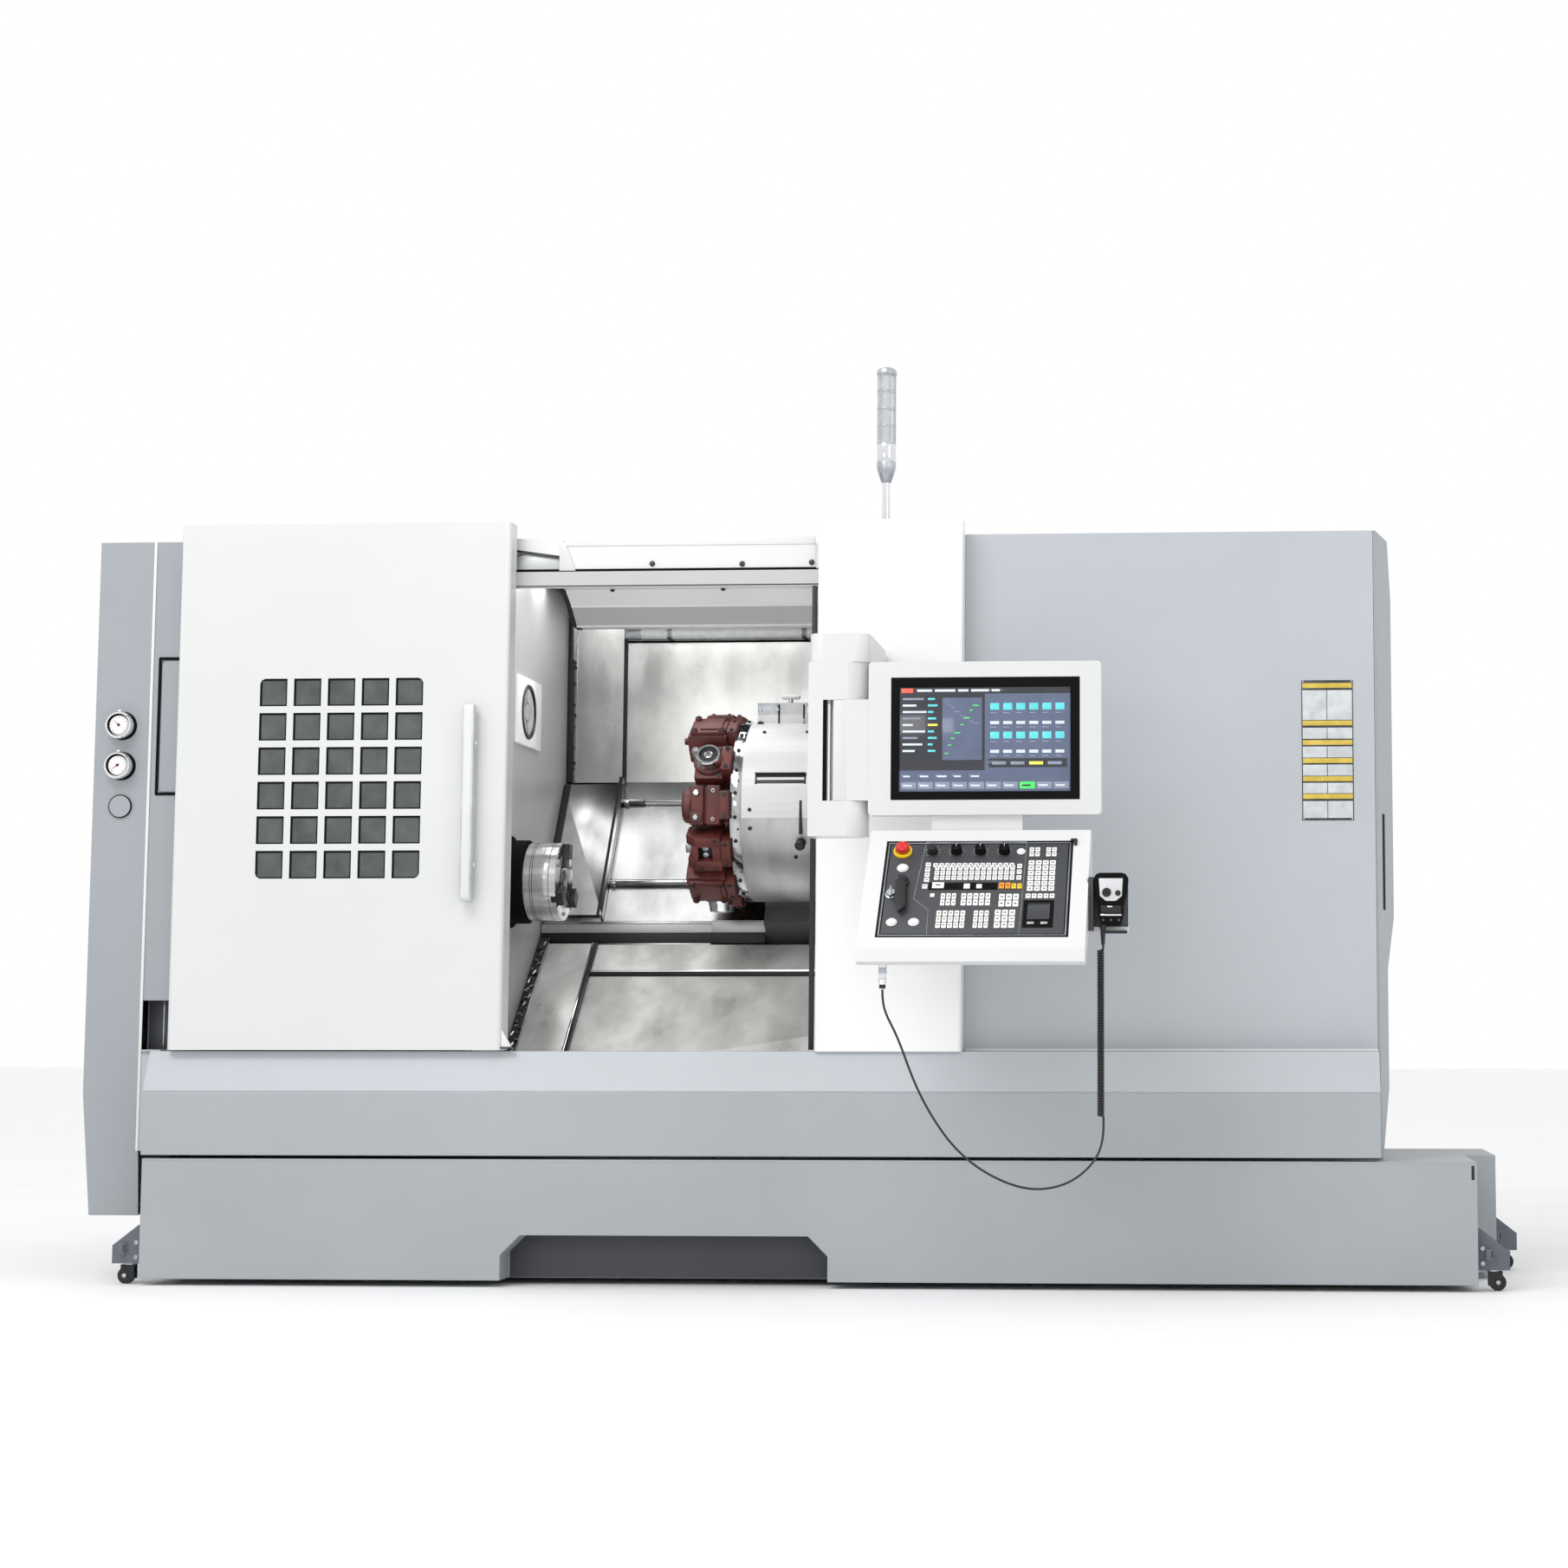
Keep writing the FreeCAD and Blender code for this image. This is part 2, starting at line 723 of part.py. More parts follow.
def caster_fork(index, x, y, side):
    """A swivel fork: a round plate with a stem, and two cheeks that carry the axle."""
    axle_x = x + side * wheel_trail
    cheek_y = wheel_wide / 2 + fork_gap
    cheek_left = x + side * wheel_trail / 2 - cheek_long / 2
    plate = rod("z", (x, y, fork_top), swivel_r, swivel_plate - clearance)
    parts = [plate]
    for near in (y - cheek_y - fork_wall, y + cheek_y):
        low = wheel_r - axle_r * 2
        parts.append(box((cheek_left, near, low), (cheek_long, fork_wall, fork_top - low)))
    bridge_y = y - cheek_y - fork_wall
    parts.append(box((cheek_left, bridge_y, fork_top - fork_wall),
                     (cheek_long, (cheek_y + fork_wall) * 2, fork_wall)))
    axle_start = y - cheek_y - fork_wall - 2
    axle = rod("y", (axle_x, axle_start, wheel_r), axle_r, (cheek_y + fork_wall + 2) * 2)
    name(f"caster_fork_{index}", join(*parts, axle))


def caster_wheel(index, x, y, side):
    axle_x = x + side * wheel_trail
    start = y - wheel_wide / 2
    tyre = rod("y", (axle_x, start, wheel_r), wheel_r, wheel_wide)
    hole = rod("y", (axle_x, start - 1, wheel_r), axle_r + clearance, wheel_wide + 2)
    name(f"caster_wheel_{index}", cut(tyre, hole))


coolant_tank()
caster_brackets()
for number, (place_x, place_y, _, place_side) in enumerate(caster_places(), start=1):
    caster_fork(number, place_x, place_y, place_side)
    caster_wheel(number, place_x, place_y, place_side)


# ---------------------------------------------------------------- bed, feet and ways
def bed_casting():
    """The slant-bed casting, ribbed from behind, with bearing blocks for the feed screw."""
    low_y, low_z = ways.point(0, 0 - bed_drop)
    top_y, top_z = ways.point(cover_len, 0 - bed_drop)
    front_top_z = low_z - (low_y - bed_front_y) * sine(slant) / cosine(slant)
    body = profile("YZ", [
        (bed_front_y, bed_low),
        (bed_front_y, front_top_z),
        (top_y, top_z),
        (bed_shoulder_y, top_z),
        (bed_back_y, bed_back_top),
        (bed_back_y, bed_low),
    ], bed_left, bed_right - bed_left)
    bay_left = bed_left + (core_pitch - core_wide)
    bays = []
    for bay in range(core_count):
        bays.append(box((bay_left + core_pitch * bay, bed_back_y - core_deep, bed_low + core_floor),
                        (core_wide, core_deep + 1, core_high)))
    screw_v = way_high - bed_drop - screw_r
    blocks = []
    bores = []
    for left in (way_left - bearing_wide - bearing_gap, way_right - bearing_wide - bearing_gap):
        blocks.append(ways.box((left, screw_u - screw_r * 1.6, 0 - bed_drop - 1),
                               (bearing_wide, screw_r * 3.2, way_high + screw_r + 1)))
        bore_y, bore_z = ways.point(screw_u, screw_v)
        bores.append(rod("x", (left - 1, bore_y, bore_z), screw_r + clearance, bearing_wide + 2))
    name("bed_casting", cut(join(cut(body, *bays), *blocks), *bores))


def levelling_feet():
    """Six pads with stems, as one group of solids."""
    feet = []
    for step in range(3):
        x = bed_left + foot_inset + (bed_right - bed_left - foot_inset * 2) * (step / 2)
        for y in (bed_front_y + foot_inset / 2, bed_back_y - foot_inset):
            pad = rod("z", (x, y, 0), foot_r, foot_high)
            stem = rod("z", (x, y, foot_high), foot_stem_r, bed_low - foot_high)
            feet.append(join(pad, stem))
    name("levelling_feet", join(*feet))


def guide_rails():
    rails = []
    for u in (way_low_u, way_high_u):
        rails.append(ways.box((way_left, u, 0 - bed_drop), (way_right - way_left, way_wide, way_high)))
    name("guide_rails", join(*rails))


def feed_screw():
    y, z = ways.point(screw_u, way_high - bed_drop - screw_r)
    left = way_left - bearing_wide - 10
    name("feed_screw", rod("x", (left, y, z), screw_r, way_right - way_left + bearing_wide))


bed_casting()
levelling_feet()
guide_rails()
feed_screw()


# ---------------------------------------------------------------- headstock, spindle and chuck
def headstock_casting():
    axis_u = (spindle_y - cover_low_y) * cosine(slant) + (spindle_z - cover_low_z) * sine(slant)
    axis_v = (spindle_z - cover_low_z) * cosine(slant) - (spindle_y - cover_low_y) * sine(slant)
    long = inner_left - inner_wall - head_space - head_left
    block = ways.box((head_left, head_low_u, 0 - bed_drop),
                     (long, head_high_u - head_low_u, bed_drop + axis_v))
    barrel = rod("x", (head_left, spindle_y, spindle_z), head_r, long)
    bore = rod("x", (head_left - 1, spindle_y, spindle_z), shaft_r + clearance, long + 2)
    name("headstock_casting", cut(join(block, barrel), bore))


def spindle_motor():
    """A hollow-shaft motor that sits on the rear face of the headstock."""
    left = head_left - motor_long
    can = rod("x", (left, spindle_y, spindle_z), motor_r, motor_long)
    bore = rod("x", (left + motor_end, spindle_y, spindle_z), shaft_r + clearance, motor_long)
    bar_way = rod("x", (left - 1, spindle_y, spindle_z), bore_r, motor_end * 1.5)
    name("spindle_motor", cut(can, bore, bar_way))


chuck_left = inner_left + nose_long + ring_long
chuck_face = chuck_left + chuck_long


def spindle_shaft():
    """The hollow spindle, its nose flange and the dark chuck backing ring."""
    nose_left = inner_left - inner_wall - head_space + clearance
    body = rod("x", (head_left - shaft_tail, spindle_y, spindle_z), shaft_r,
               nose_left - head_left + shaft_tail)
    nose = rod("x", (nose_left, spindle_y, spindle_z), nose_r, inner_left + nose_long - nose_left)
    ring = rod("x", (inner_left + nose_long, spindle_y, spindle_z), ring_r, ring_long)
    bore = rod("x", (head_left - shaft_tail - 1, spindle_y, spindle_z), bore_r,
               chuck_left - head_left + shaft_tail + 2)
    name("spindle_shaft", cut(join(body, nose, ring), bore))


def turned(angle):
    return FreeCAD.Rotation(FreeCAD.Vector(1, 0, 0), angle)


def spoke(angle, left, long, inner, outer, wide):
    """A block that points out from the spindle axis at an angle from +Z."""
    block = doc.addObject("Part::Box", "spoke")
    bind(block, "Length", long)
    bind(block, "Width", wide)
    bind(block, "Height", outer - inner)
    shift = turned(angle)
    away = shift.multVec(FreeCAD.Vector(0, 0, 1))
    across = shift.multVec(FreeCAD.Vector(0, 1, 0))
    y = spindle_y + inner * away.y - wide * (across.y / 2)
    z = spindle_z + inner * away.z - wide * (across.z / 2)
    return put(block, left, y, z, rotation=shift)


JAW_ANGLES = (0, 120, 240)


def chuck_body():
    body = rod("x", (chuck_left, spindle_y, spindle_z), chuck_r, chuck_long)
    bore = rod("x", (chuck_left - 1, spindle_y, spindle_z), chuck_hole_r, chuck_long + 2)
    slots = []
    for angle in JAW_ANGLES:
        slots.append(spoke(angle, chuck_face - jaw_key, jaw_key + 1, jaw_slot_in, chuck_r + OVERCUT,
                           jaw_wide / 2 + clearance * 2))
    name("chuck_body", cut(body, bore, *slots))


def chuck_jaw(number, angle):
    """A stepped jaw with a key that runs in the chuck's slot."""
    base = spoke(angle, chuck_face + clearance, jaw_high, jaw_in + jaw_step, jaw_out, jaw_wide)
    tip = spoke(angle, chuck_face + clearance, jaw_high / 2, jaw_in, jaw_out, jaw_wide)
    key = spoke(angle, chuck_face - jaw_key + clearance, jaw_key + 1, jaw_in + jaw_step, jaw_out,
                jaw_wide / 2)
    name(f"chuck_jaw_{number}", join(base, tip, key))


headstock_casting()
spindle_motor()
spindle_shaft()
chuck_body()
for number, angle in enumerate(JAW_ANGLES, start=1):
    chuck_jaw(number, angle)


# ---------------------------------------------------------------- saddle, cross slide, turret
def carriage(left, wide, arm_x, arm_span, top_u):
    """A carriage on the ways that reaches round the lower edge of the way cover."""
    low_v = way_high / 2 - bed_drop
    inside = ways.box((left, saddle_low_u, low_v),
                      (wide, saddle_high_u - saddle_low_u, 0 - inner_under - low_v))
    neck = ways.box((arm_x, saddle_low_u, low_v),
                    (arm_span, saddle_neck, saddle_over + saddle_plate - low_v))
    plate = ways.box((arm_x, saddle_low_u, saddle_over), (arm_span, top_u - saddle_low_u, saddle_plate))
    grooves = []
    for u in (way_low_u, way_high_u):
        grooves.append(ways.box((left - 1, u - clearance, low_v - 1),
                                (wide + 2, way_wide + clearance * 2, way_high / 2 + 1 + clearance)))
    y, z = ways.point(screw_u, way_high - bed_drop - screw_r)
    grooves.append(rod("x", (left - 1, y, z), screw_r + clearance, wide + 2))
    return inside, neck, plate, grooves


def saddle():
    inside, neck, plate, grooves = carriage(saddle_left, saddle_wide, arm_left, arm_wide, saddle_high_u)
    name("saddle", cut(join(inside, neck, plate), *grooves))


cross_v = saddle_over + saddle_plate + clearance
turret_foot_v = cross_v + cross_thick


def cross_slide():
    name("cross_slide", ways.box((arm_left, cross_low_u, cross_v), (arm_wide, cross_len, cross_thick)))


drum_left = disc_left + disc_thick + clearance


def turret_housing():
    """The drum-shaped guard of the indexing turret, flat where it sits, with a block on top."""
    drum_long = arm_left + arm_wide - drum_left
    drum = rod("x", (drum_left, turret_y, turret_z), drum_r, drum_long)
    foot = ways.box((arm_left, cross_low_u + sole_inset, turret_foot_v),
                    (arm_wide, cross_len - sole_inset * 2, drum_r * 0.6))
    below = ways.box((drum_left - OVERCUT, cross_low_u - cross_len, turret_foot_v - drum_r * 2),
                     (drum_long + OVERCUT * 2, cross_len * 3, drum_r * 2))
    block = box((drum_left + block_inset, turret_y - block_wide / 2, turret_z + drum_r - block_sunk),
                (drum_long * 0.66, block_wide, block_high))
    bore = rod("x", (drum_left - 1, turret_y, turret_z), turret_shaft_r + clearance, turret_shaft_len + 2)
    name("turret_housing", cut(join(drum, foot, block), below, bore))


def turret_disc():
    disc = rod("x", (disc_left, turret_y, turret_z), disc_r, disc_thick)
    shaft = rod("x", (disc_left, turret_y, turret_z), turret_shaft_r, disc_thick + turret_shaft_len)
    hub = rod("x", (disc_left - hub_out, turret_y, turret_z), holder_base_in - hub_gap, hub_out + 2)
    bolts = []
    for step in range(rim_bolts):
        angle = 2 * math.pi * (step + 0.5) / rim_bolts
        y = turret_y + (disc_r - rim_bolt_inset) * math.cos(angle)
        z = turret_z + (disc_r - rim_bolt_inset) * math.sin(angle)
        bolts.append(rod("x", (disc_left - 1, y, z), rim_bolt_r, rim_bolt_deep + 1))
    name("turret_disc", cut(join(disc, shaft, hub), *bolts))


def station(angle, left, long, inner, outer, wide):
    """A block that points out from the turret axis at an angle from +Z."""
    block = doc.addObject("Part::Box", "station")
    bind(block, "Length", long)
    bind(block, "Width", wide)
    bind(block, "Height", outer - inner)
    shift = turned(angle)
    away = shift.multVec(FreeCAD.Vector(0, 0, 1))
    across = shift.multVec(FreeCAD.Vector(0, 1, 0))
    y = turret_y + inner * away.y - wide * (across.y / 2)
    z = turret_z + inner * away.z - wide * (across.z / 2)
    return put(block, left, y, z, rotation=shift)


def station_rod(angle, x, out, radius, length):
    """A rod that points out from the turret axis at an angle from +Z, standing at a distance from it."""
    bar = doc.addObject("Part::Cylinder", "station_rod")
    bind(bar, "Radius", radius)
    bind(bar, "Height", length)
    shift = turned(angle)
    away = shift.multVec(FreeCAD.Vector(0, 0, 1))
    return put(bar, x, turret_y + out * away.y, turret_z + out * away.z, rotation=shift)


def holder_bore_at(angle, out, left, radius, length):
    """A rod along the turret axis, set off from it at an angle from +Z."""
    away = turned(angle).multVec(FreeCAD.Vector(0, 0, 1))
    return rod("x", (left, turret_y + out * away.y, turret_z + out * away.z), radius, length)


def wedge(angle, left, long, outer):
    """A holder's head at an angle from +Z, which broadens outwards as the room beside it does."""
    shift = turned(angle)
    away = shift.multVec(FreeCAD.Vector(0, 0, 1))
    across = shift.multVec(FreeCAD.Vector(0, 1, 0))
    half = holder_wide / 2
    broad = holder_broad / 2
    corners = []
    for out, aside in ((holder_in, 0 - half), (holder_flare, 0 - broad), (outer, 0 - broad), (outer, broad),
                       (holder_flare, broad), (holder_in, half)):
        y = turret_y + out * away.y + aside * across.y
        z = turret_z + out * away.z + aside * across.z
        corners.append((y, z))
    return profile("YZ", corners, left, long)


def clamp_holder(angle, left):
    """A split clamp with a deep slot between two cheeks."""
    head = wedge(angle, left - clamp_long, clamp_long + 1, holder_out)
    slot = station(angle, left - clamp_long - 1, clamp_long - slot_back, slot_floor, holder_out + 1,
                   slot_wide)
    return cut(head, slot)


def lid_holder(angle, left):
    """A block for a square tool, with a stub bar at its free end."""
    head = wedge(angle, left - lid_long, lid_long + 1, holder_out)
    stub = holder_bore_at(angle, stub_out, left - lid_long - stub_long, stub_r, stub_long + 1)
    return join(head, stub)


def driven_holder(angle, left):
    """A driven head whose round flange points outwards."""
    head = wedge(angle, left - driven_long, driven_long + 1, driven_out)
    flange = station_rod(angle, left - flange_back, driven_out - 1, flange_r, holder_reach - driven_out)
    bore = station_rod(angle, left - flange_back, driven_out, holder_bore, holder_reach - driven_out)
    return cut(join(head, flange), bore)


def bar_holder(angle, left):
    """A box for a boring bar with a round cheek at its free end and the bar's bore through it."""
    head = wedge(angle, left - bar_long, bar_long + 1, bar_out)
    centre = (holder_in + bar_out) / 2
    cheek = holder_bore_at(angle, centre, left - bar_long - bar_cheek_long, bar_cheek_r, bar_cheek_long + 1)
    bore = holder_bore_at(angle, centre, left - bar_long - bar_cheek_long - 1, holder_bore,
                          bar_long + bar_cheek_long)
    return cut(join(head, cheek), bore)


HOLDER_KINDS = (clamp_holder, lid_holder, driven_holder, bar_holder)


def tool_holders():
    """A cast holder at each station, four kinds in turn, as one group of solids."""
    holders = []
    for step in range(holder_count):
        angle = 360 / holder_count * step
        base = station(angle, disc_left - holder_base, holder_base, holder_base_in, holder_base_out,
                       holder_base_wide)
        kind = HOLDER_KINDS[step % len(HOLDER_KINDS)]
        holders.append(join(base, kind(angle, disc_left - holder_base)))
    name("tool_holders", join(*holders))


def tailstock():
    """The tailstock carriage with its barrel on the spindle line, and the quill with its centre."""
    axis_u = (spindle_y - cover_low_y) * cosine(slant) + (spindle_z - cover_low_z) * sine(slant)
    axis_v = (spindle_z - cover_low_z) * cosine(slant) - (spindle_y - cover_low_y) * sine(slant)
    inside, neck, plate, grooves = carriage(tail_left, tail_wide, tail_left, tail_wide, saddle_high_u)
    web = ways.box((tail_left, axis_u - tail_r, tail_web_low_v),
                   (tail_wide, tail_web_high_u - axis_u + tail_r, axis_v - tail_web_low_v))
    riser = ways.box((tail_left, saddle_low_u, saddle_over),
                     (tail_wide, tail_web_high_u - saddle_low_u, axis_v - saddle_over))
    barrel = rod("x", (tail_left, spindle_y, spindle_z), tail_r, tail_wide)
    quill_bore = rod("x", (tail_left - 1, spindle_y, spindle_z), quill_r + clearance, tail_wide + 2)
    name("tailstock_body", cut(join(inside, neck, plate, web, riser, barrel), *grooves, quill_bore))
    tip = cone("x", (tail_left - quill_out - centre_len, spindle_y, spindle_z), 2, quill_r * 0.7, centre_len)
    quill = rod("x", (tail_left - quill_out, spindle_y, spindle_z), quill_r, quill_out + quill_in)
    name("tailstock_quill", join(tip, quill))


saddle()
cross_slide()
turret_housing()
turret_disc()
tool_holders()
tailstock()


# ---------------------------------------------------------------- work area guards
def wall_outline(depth):
    """Outline in Y and Z of the side walls of the work area.

    It runs a little below the apron, then up the ways at a depth under the face of their cover.
    """
    low_y, low_z = ways.point(0, 0 - depth)
    top_y, top_ways_z = ways.point(cover_len, 0 - depth)
    from_y = front_y + sheet_wall
    top_z = body_top - sheet_wall
    skirt = apron_sheet * 4
    return [
        (from_y, apron_low_z - skirt),
        (apron_front_y, apron_low_z - skirt),
        (apron_step_y, apron_step_z - skirt),
        (apron_top_y, apron_top_z - skirt),
        (low_y, low_z),
        (top_y, top_ways_z),
        (top_y, top_z),
        (from_y, top_z),
    ]


rear_wall_y, rear_wall_low = ways.point(cover_len, 0)


def left_inner_wall():
    """The wall between the headstock and the work area, which stands on the bed."""
    wall = profile("YZ", wall_outline(bed_drop), inner_left - inner_wall, inner_wall)
    hole = rod("x", (inner_left - inner_wall - 1, spindle_y, spindle_z), nose_hole_r, inner_wall + 2)
    name("left_inner_wall", cut(wall, hole))


def rear_inner_wall():
    """The rear sheet of the work area and its folded right-hand side."""
    back = box((inner_left, rear_wall_y, rear_wall_low),
               (inner_right - inner_left + sheet_wall, sheet_wall, inner_top - rear_wall_low))
    side = profile("YZ", wall_outline(sheet_wall * 2), inner_right, sheet_wall)
    name("rear_inner_wall", join(back, side))


def way_cover():
    """The slanted cover over the ways: raised beside the headstock, and standing on the bed behind."""
    plate = ways.box((seam_inner_x, 0, 0 - sheet_wall), (inner_right - seam_inner_x, cover_len, sheet_wall))
    riser = ways.box((seam_inner_x - sheet_wall, 0, 0 - sheet_wall),
                     (sheet_wall * 2, cover_len - cover_raise, cover_raise + sheet_wall))
    raised = ways.box((inner_left, 0, cover_raise - sheet_wall),
                      (seam_inner_x - inner_left, cover_len - cover_raise, sheet_wall))
    stand = ways.box((seam_inner_x, cover_len - sheet_wall, 0 - bed_drop),
                     (inner_right - seam_inner_x, sheet_wall, bed_drop))
    name("way_cover", join(plate, riser, raised, stand))


def chip_apron():
    """The folded sheet below the ways that leads chips down, through a chute, to the tank."""
    gauge = apron_sheet
    front = front_y + sheet_wall
    sheet_outline = [
        (front, apron_low_z - gauge),
        (apron_front_y, apron_low_z - gauge),
        (apron_step_y + gauge, apron_step_z - gauge),
        (apron_step_y + apron_step_deep + gauge, apron_step_z - gauge),
        (apron_step_y + apron_step_deep + gauge, apron_step_z + apron_step_deep - gauge),
        (apron_top_y + gauge, apron_top_z - gauge),
        (apron_top_y, apron_top_z),
        (apron_step_y + apron_step_deep, apron_step_z + apron_step_deep),
        (apron_step_y + apron_step_deep, apron_step_z),
        (apron_step_y, apron_step_z),
        (apron_front_y, apron_low_z),
        (front + gauge, apron_low_z),
        (front + gauge, ledge_z),
        (front, ledge_z),
    ]
    sheet = profile("YZ", sheet_outline, inner_left, inner_right - inner_left)
    chute = box((seam_inner_x, apron_front_y - chute_wide - gauge * 4, apron_low_z - gauge * 2),
                (chip_hole_len, chute_wide, gauge * 4))
    name("chip_apron", cut(sheet, chute))


def work_light():
    """A tube lamp on a bracket across the top of the rear wall."""
    left = seam_inner_x
    bracket = box((left, rear_wall_y - light_bracket, light_z - light_r),
                  (light_len, light_bracket, light_r * 2))
    tube = rod("x", (left, rear_wall_y - light_bracket, light_z), light_r, light_len)
    name("work_light", join(bracket, tube))


left_inner_wall()
rear_inner_wall()
way_cover()
chip_apron()
work_light()


# ---------------------------------------------------------------- enclosure
def lower_front_cover():
    """The folded front cover between the tank and the door: face, leaning lip and ledge."""
    left = tank_left - 5
    wall = sheet_wall
    fold = profile("YZ", [
        (0, cover_low),
        (0, fold_z),
        (lip_back, ledge_z),
        (front_y + wall, ledge_z),
        (front_y + wall, ledge_z - wall),
        (lip_back + wall, ledge_z - wall),
        (wall, fold_z - 1),
        (wall, cover_low + wall),
        (cover_return, cover_low + wall),
        (cover_return, cover_low),
    ], left, body_right - left)
    cheek = profile("YZ", [
        (0, cover_low),
        (0, fold_z),
        (lip_back, ledge_z),
        (front_y + wall, ledge_z),
        (front_y + wall, cover_low),
    ], left, wall)
    shelf = box((seam_x + wall, front_y - wall * 2, ledge_z - wall), (left - seam_x, wall * 3, wall))
    name("lower_front_cover", join(fold, cheek, shelf))


def left_end_cover():
    """A deep cover over the spindle end, open towards the machine, tapered below its fold."""
    wall = sheet_wall

    def solid(inset, right):
        front = front_y + inset
        back = rear_y - inset
        top = body_top - inset
        low = end_cover_low + inset
        left = machine_left + inset
        face = profile("XZ", [
            (left, end_fold_z),
            (left, top),
            (right, top),
            (right, low),
            (left + end_taper, low),
        ], front, back - front)
        side = profile("YZ", [
            (front, end_fold_z),
            (front, top),
            (back, top),
            (back, low),
            (front + end_lean, low),
        ], left - 1, right - left + 2)
        return common(face, side)

    name("left_end_cover", cut(solid(as_size(0), seam_x), solid(wall, seam_x + 5)))


def headstock_cover():
    """The flat cover behind the open door, with a hatch in it and the door track slot below."""
    left = seam_x
    wide = inner_left - left
    inside = wide - inner_wall
    plate = box((left, front_y, track_slot_top), (wide, sheet_wall, body_top - track_slot_top))
    opening = rounded(box((hatch_left, front_y - OVERCUT, hatch_low),
                          (hatch_wide, OVERCUT * 2 + sheet_wall, hatch_high)),
                      corner_r, "y")
    backing = box((left, front_y + track_slot_deep, ledge_z),
                  (inside, sheet_wall, track_slot_top - ledge_z + backing_lap))
    web = box((left, front_y, track_slot_top), (inside, track_slot_deep + sheet_wall, sheet_wall))
    flange = box((left, front_y, inner_top), (wide, roof_flange, sheet_wall))
    name("headstock_cover", join(cut(plate, opening), backing, web, flange))


def access_hatch():
    """The hatch over the chuck hydraulics, a loose panel held by a lip behind the cover."""
    gap = hatch_gap
    panel = rounded(box((hatch_left + gap, front_y, hatch_low + gap),
                        (hatch_wide - gap * 2, sheet_wall, hatch_high - gap * 2)), corner_r, "y")
    lip = box((hatch_left - hatch_lip, front_y + sheet_wall, hatch_low - hatch_lip),
              (hatch_wide + hatch_lip * 2, sheet_wall, hatch_high + hatch_lip * 2))
    name("access_hatch", join(panel, lip))


def door():
    """The sliding door: a pan of sheet metal with a barred window, its glass and its handle."""
    wall = sheet_wall
    pan = rounded(box((door_left, door_y, door_low), (door_wide, door_thick, door_high)), corner_r, "z")
    hollow = box((door_left + wall, door_y + wall, door_low + wall),
                 (door_wide - wall * 2, door_thick, door_high - wall * 2))
    pitch = window_cell + window_bar
    columns = 5
    rows = 6
    cells = []
    for column in range(columns):
        for row in range(rows):
            cells.append(box((door_left + window_from_left + pitch * column, door_y - 5,
                              door_low + window_from_low + pitch * row),
                             (window_cell, wall + OVERCUT, window_cell)))
    left = door_left + window_from_left - glass_edge
    low = door_low + window_from_low - glass_edge
    wide = pitch * columns - window_bar + glass_edge * 2
    high = pitch * rows - window_bar + glass_edge * 2
    frame = cut(
        box((left - window_frame, door_y + wall, low - window_frame),
            (wide + window_frame * 2, window_glass * 2, high + window_frame * 2)),
        box((left, door_y + wall - 1, low), (wide, window_glass * 2 + 2, high)),
    )
    hanger = box((door_left + wall, door_y + wall, rail_low + hanger_inset),
                 (door_wide - wall * 2, door_thick - wall, rail_high - hanger_inset * 2))
    name("door_panel", join(cut(pan, hollow, *cells), frame, hanger))
    name("door_window", box((left, door_y + wall, low), (wide, window_glass, high)))
    bar_x = door_left + door_wide - handle_from_right
    bar_low = door_low + handle_from_low
    bar = rod("z", (bar_x, door_y - handle_stand, bar_low), handle_r, handle_len)
    stands = []
    for z in (bar_low + stand_off_inset, bar_low + handle_len - stand_off_inset):
        stands.append(rod("y", (bar_x, door_y - handle_stand, z), stand_off_r, handle_stand))
    name("door_handle", join(bar, *stands))


beam_wall = sheet_wall * 5


def door_header():
    """The beam over the opening, with the door rail on its face and a shaped underside."""
    front = front_y
    rail_face = door_y + door_thick + clearance
    right = post_left
    deep = front + header_deep
    lintel_low = rail_low + rail_high
    top = lintel_low + lintel_high
    beam = profile("YZ", [
        (front, lintel_low),
        (front, top),
        (front + roof_flange, top),
        (front + roof_flange, inner_top),
        (deep, inner_top),
        (deep, rail_low - soffit_drop),
        (deep - soffit_drop, rail_low - soffit_drop),
        (front + soffit_run, rail_low - soffit_step),
        (front + soffit_step, rail_low),
        (front, rail_low),
    ], header_left, right - header_left)
    hollow_low = rail_low + beam_wall / 2
    hollow = box((header_left - 1, front + beam_wall, hollow_low),
                 (right - header_left + 2, header_deep - beam_wall * 2, inner_top - beam_wall - hollow_low))
    rail = box((door_left, rail_face, rail_low), (right - door_left, front - rail_face, rail_high))
    name("door_header", join(cut(beam, hollow), rail))


def front_post():
    """The tall white column between the opening and the right cover."""
    wall = sheet_wall
    back = post_y + post_deep
    front = box((post_left, post_y, ledge_z), (post_wide, front_y - post_y, post_high))
    front = rounded(front, corner_r, "z")
    rear = box((post_left, front_y - corner_r, ledge_z),
               (post_wide, back - front_y + corner_r, inner_top - ledge_z))
    hollow = box((post_left + wall, post_y + wall, ledge_z + wall),
                 (post_wide - wall * 2, front_y - post_y - wall * 2, post_high - wall * 2))
    rear_hollow = box((post_left + wall, post_y + wall, ledge_z + wall),
                      (post_wide - wall * 2, post_deep, inner_top - ledge_z - wall * 2))
    name("front_post", cut(join(front, rear), hollow, rear_hollow))


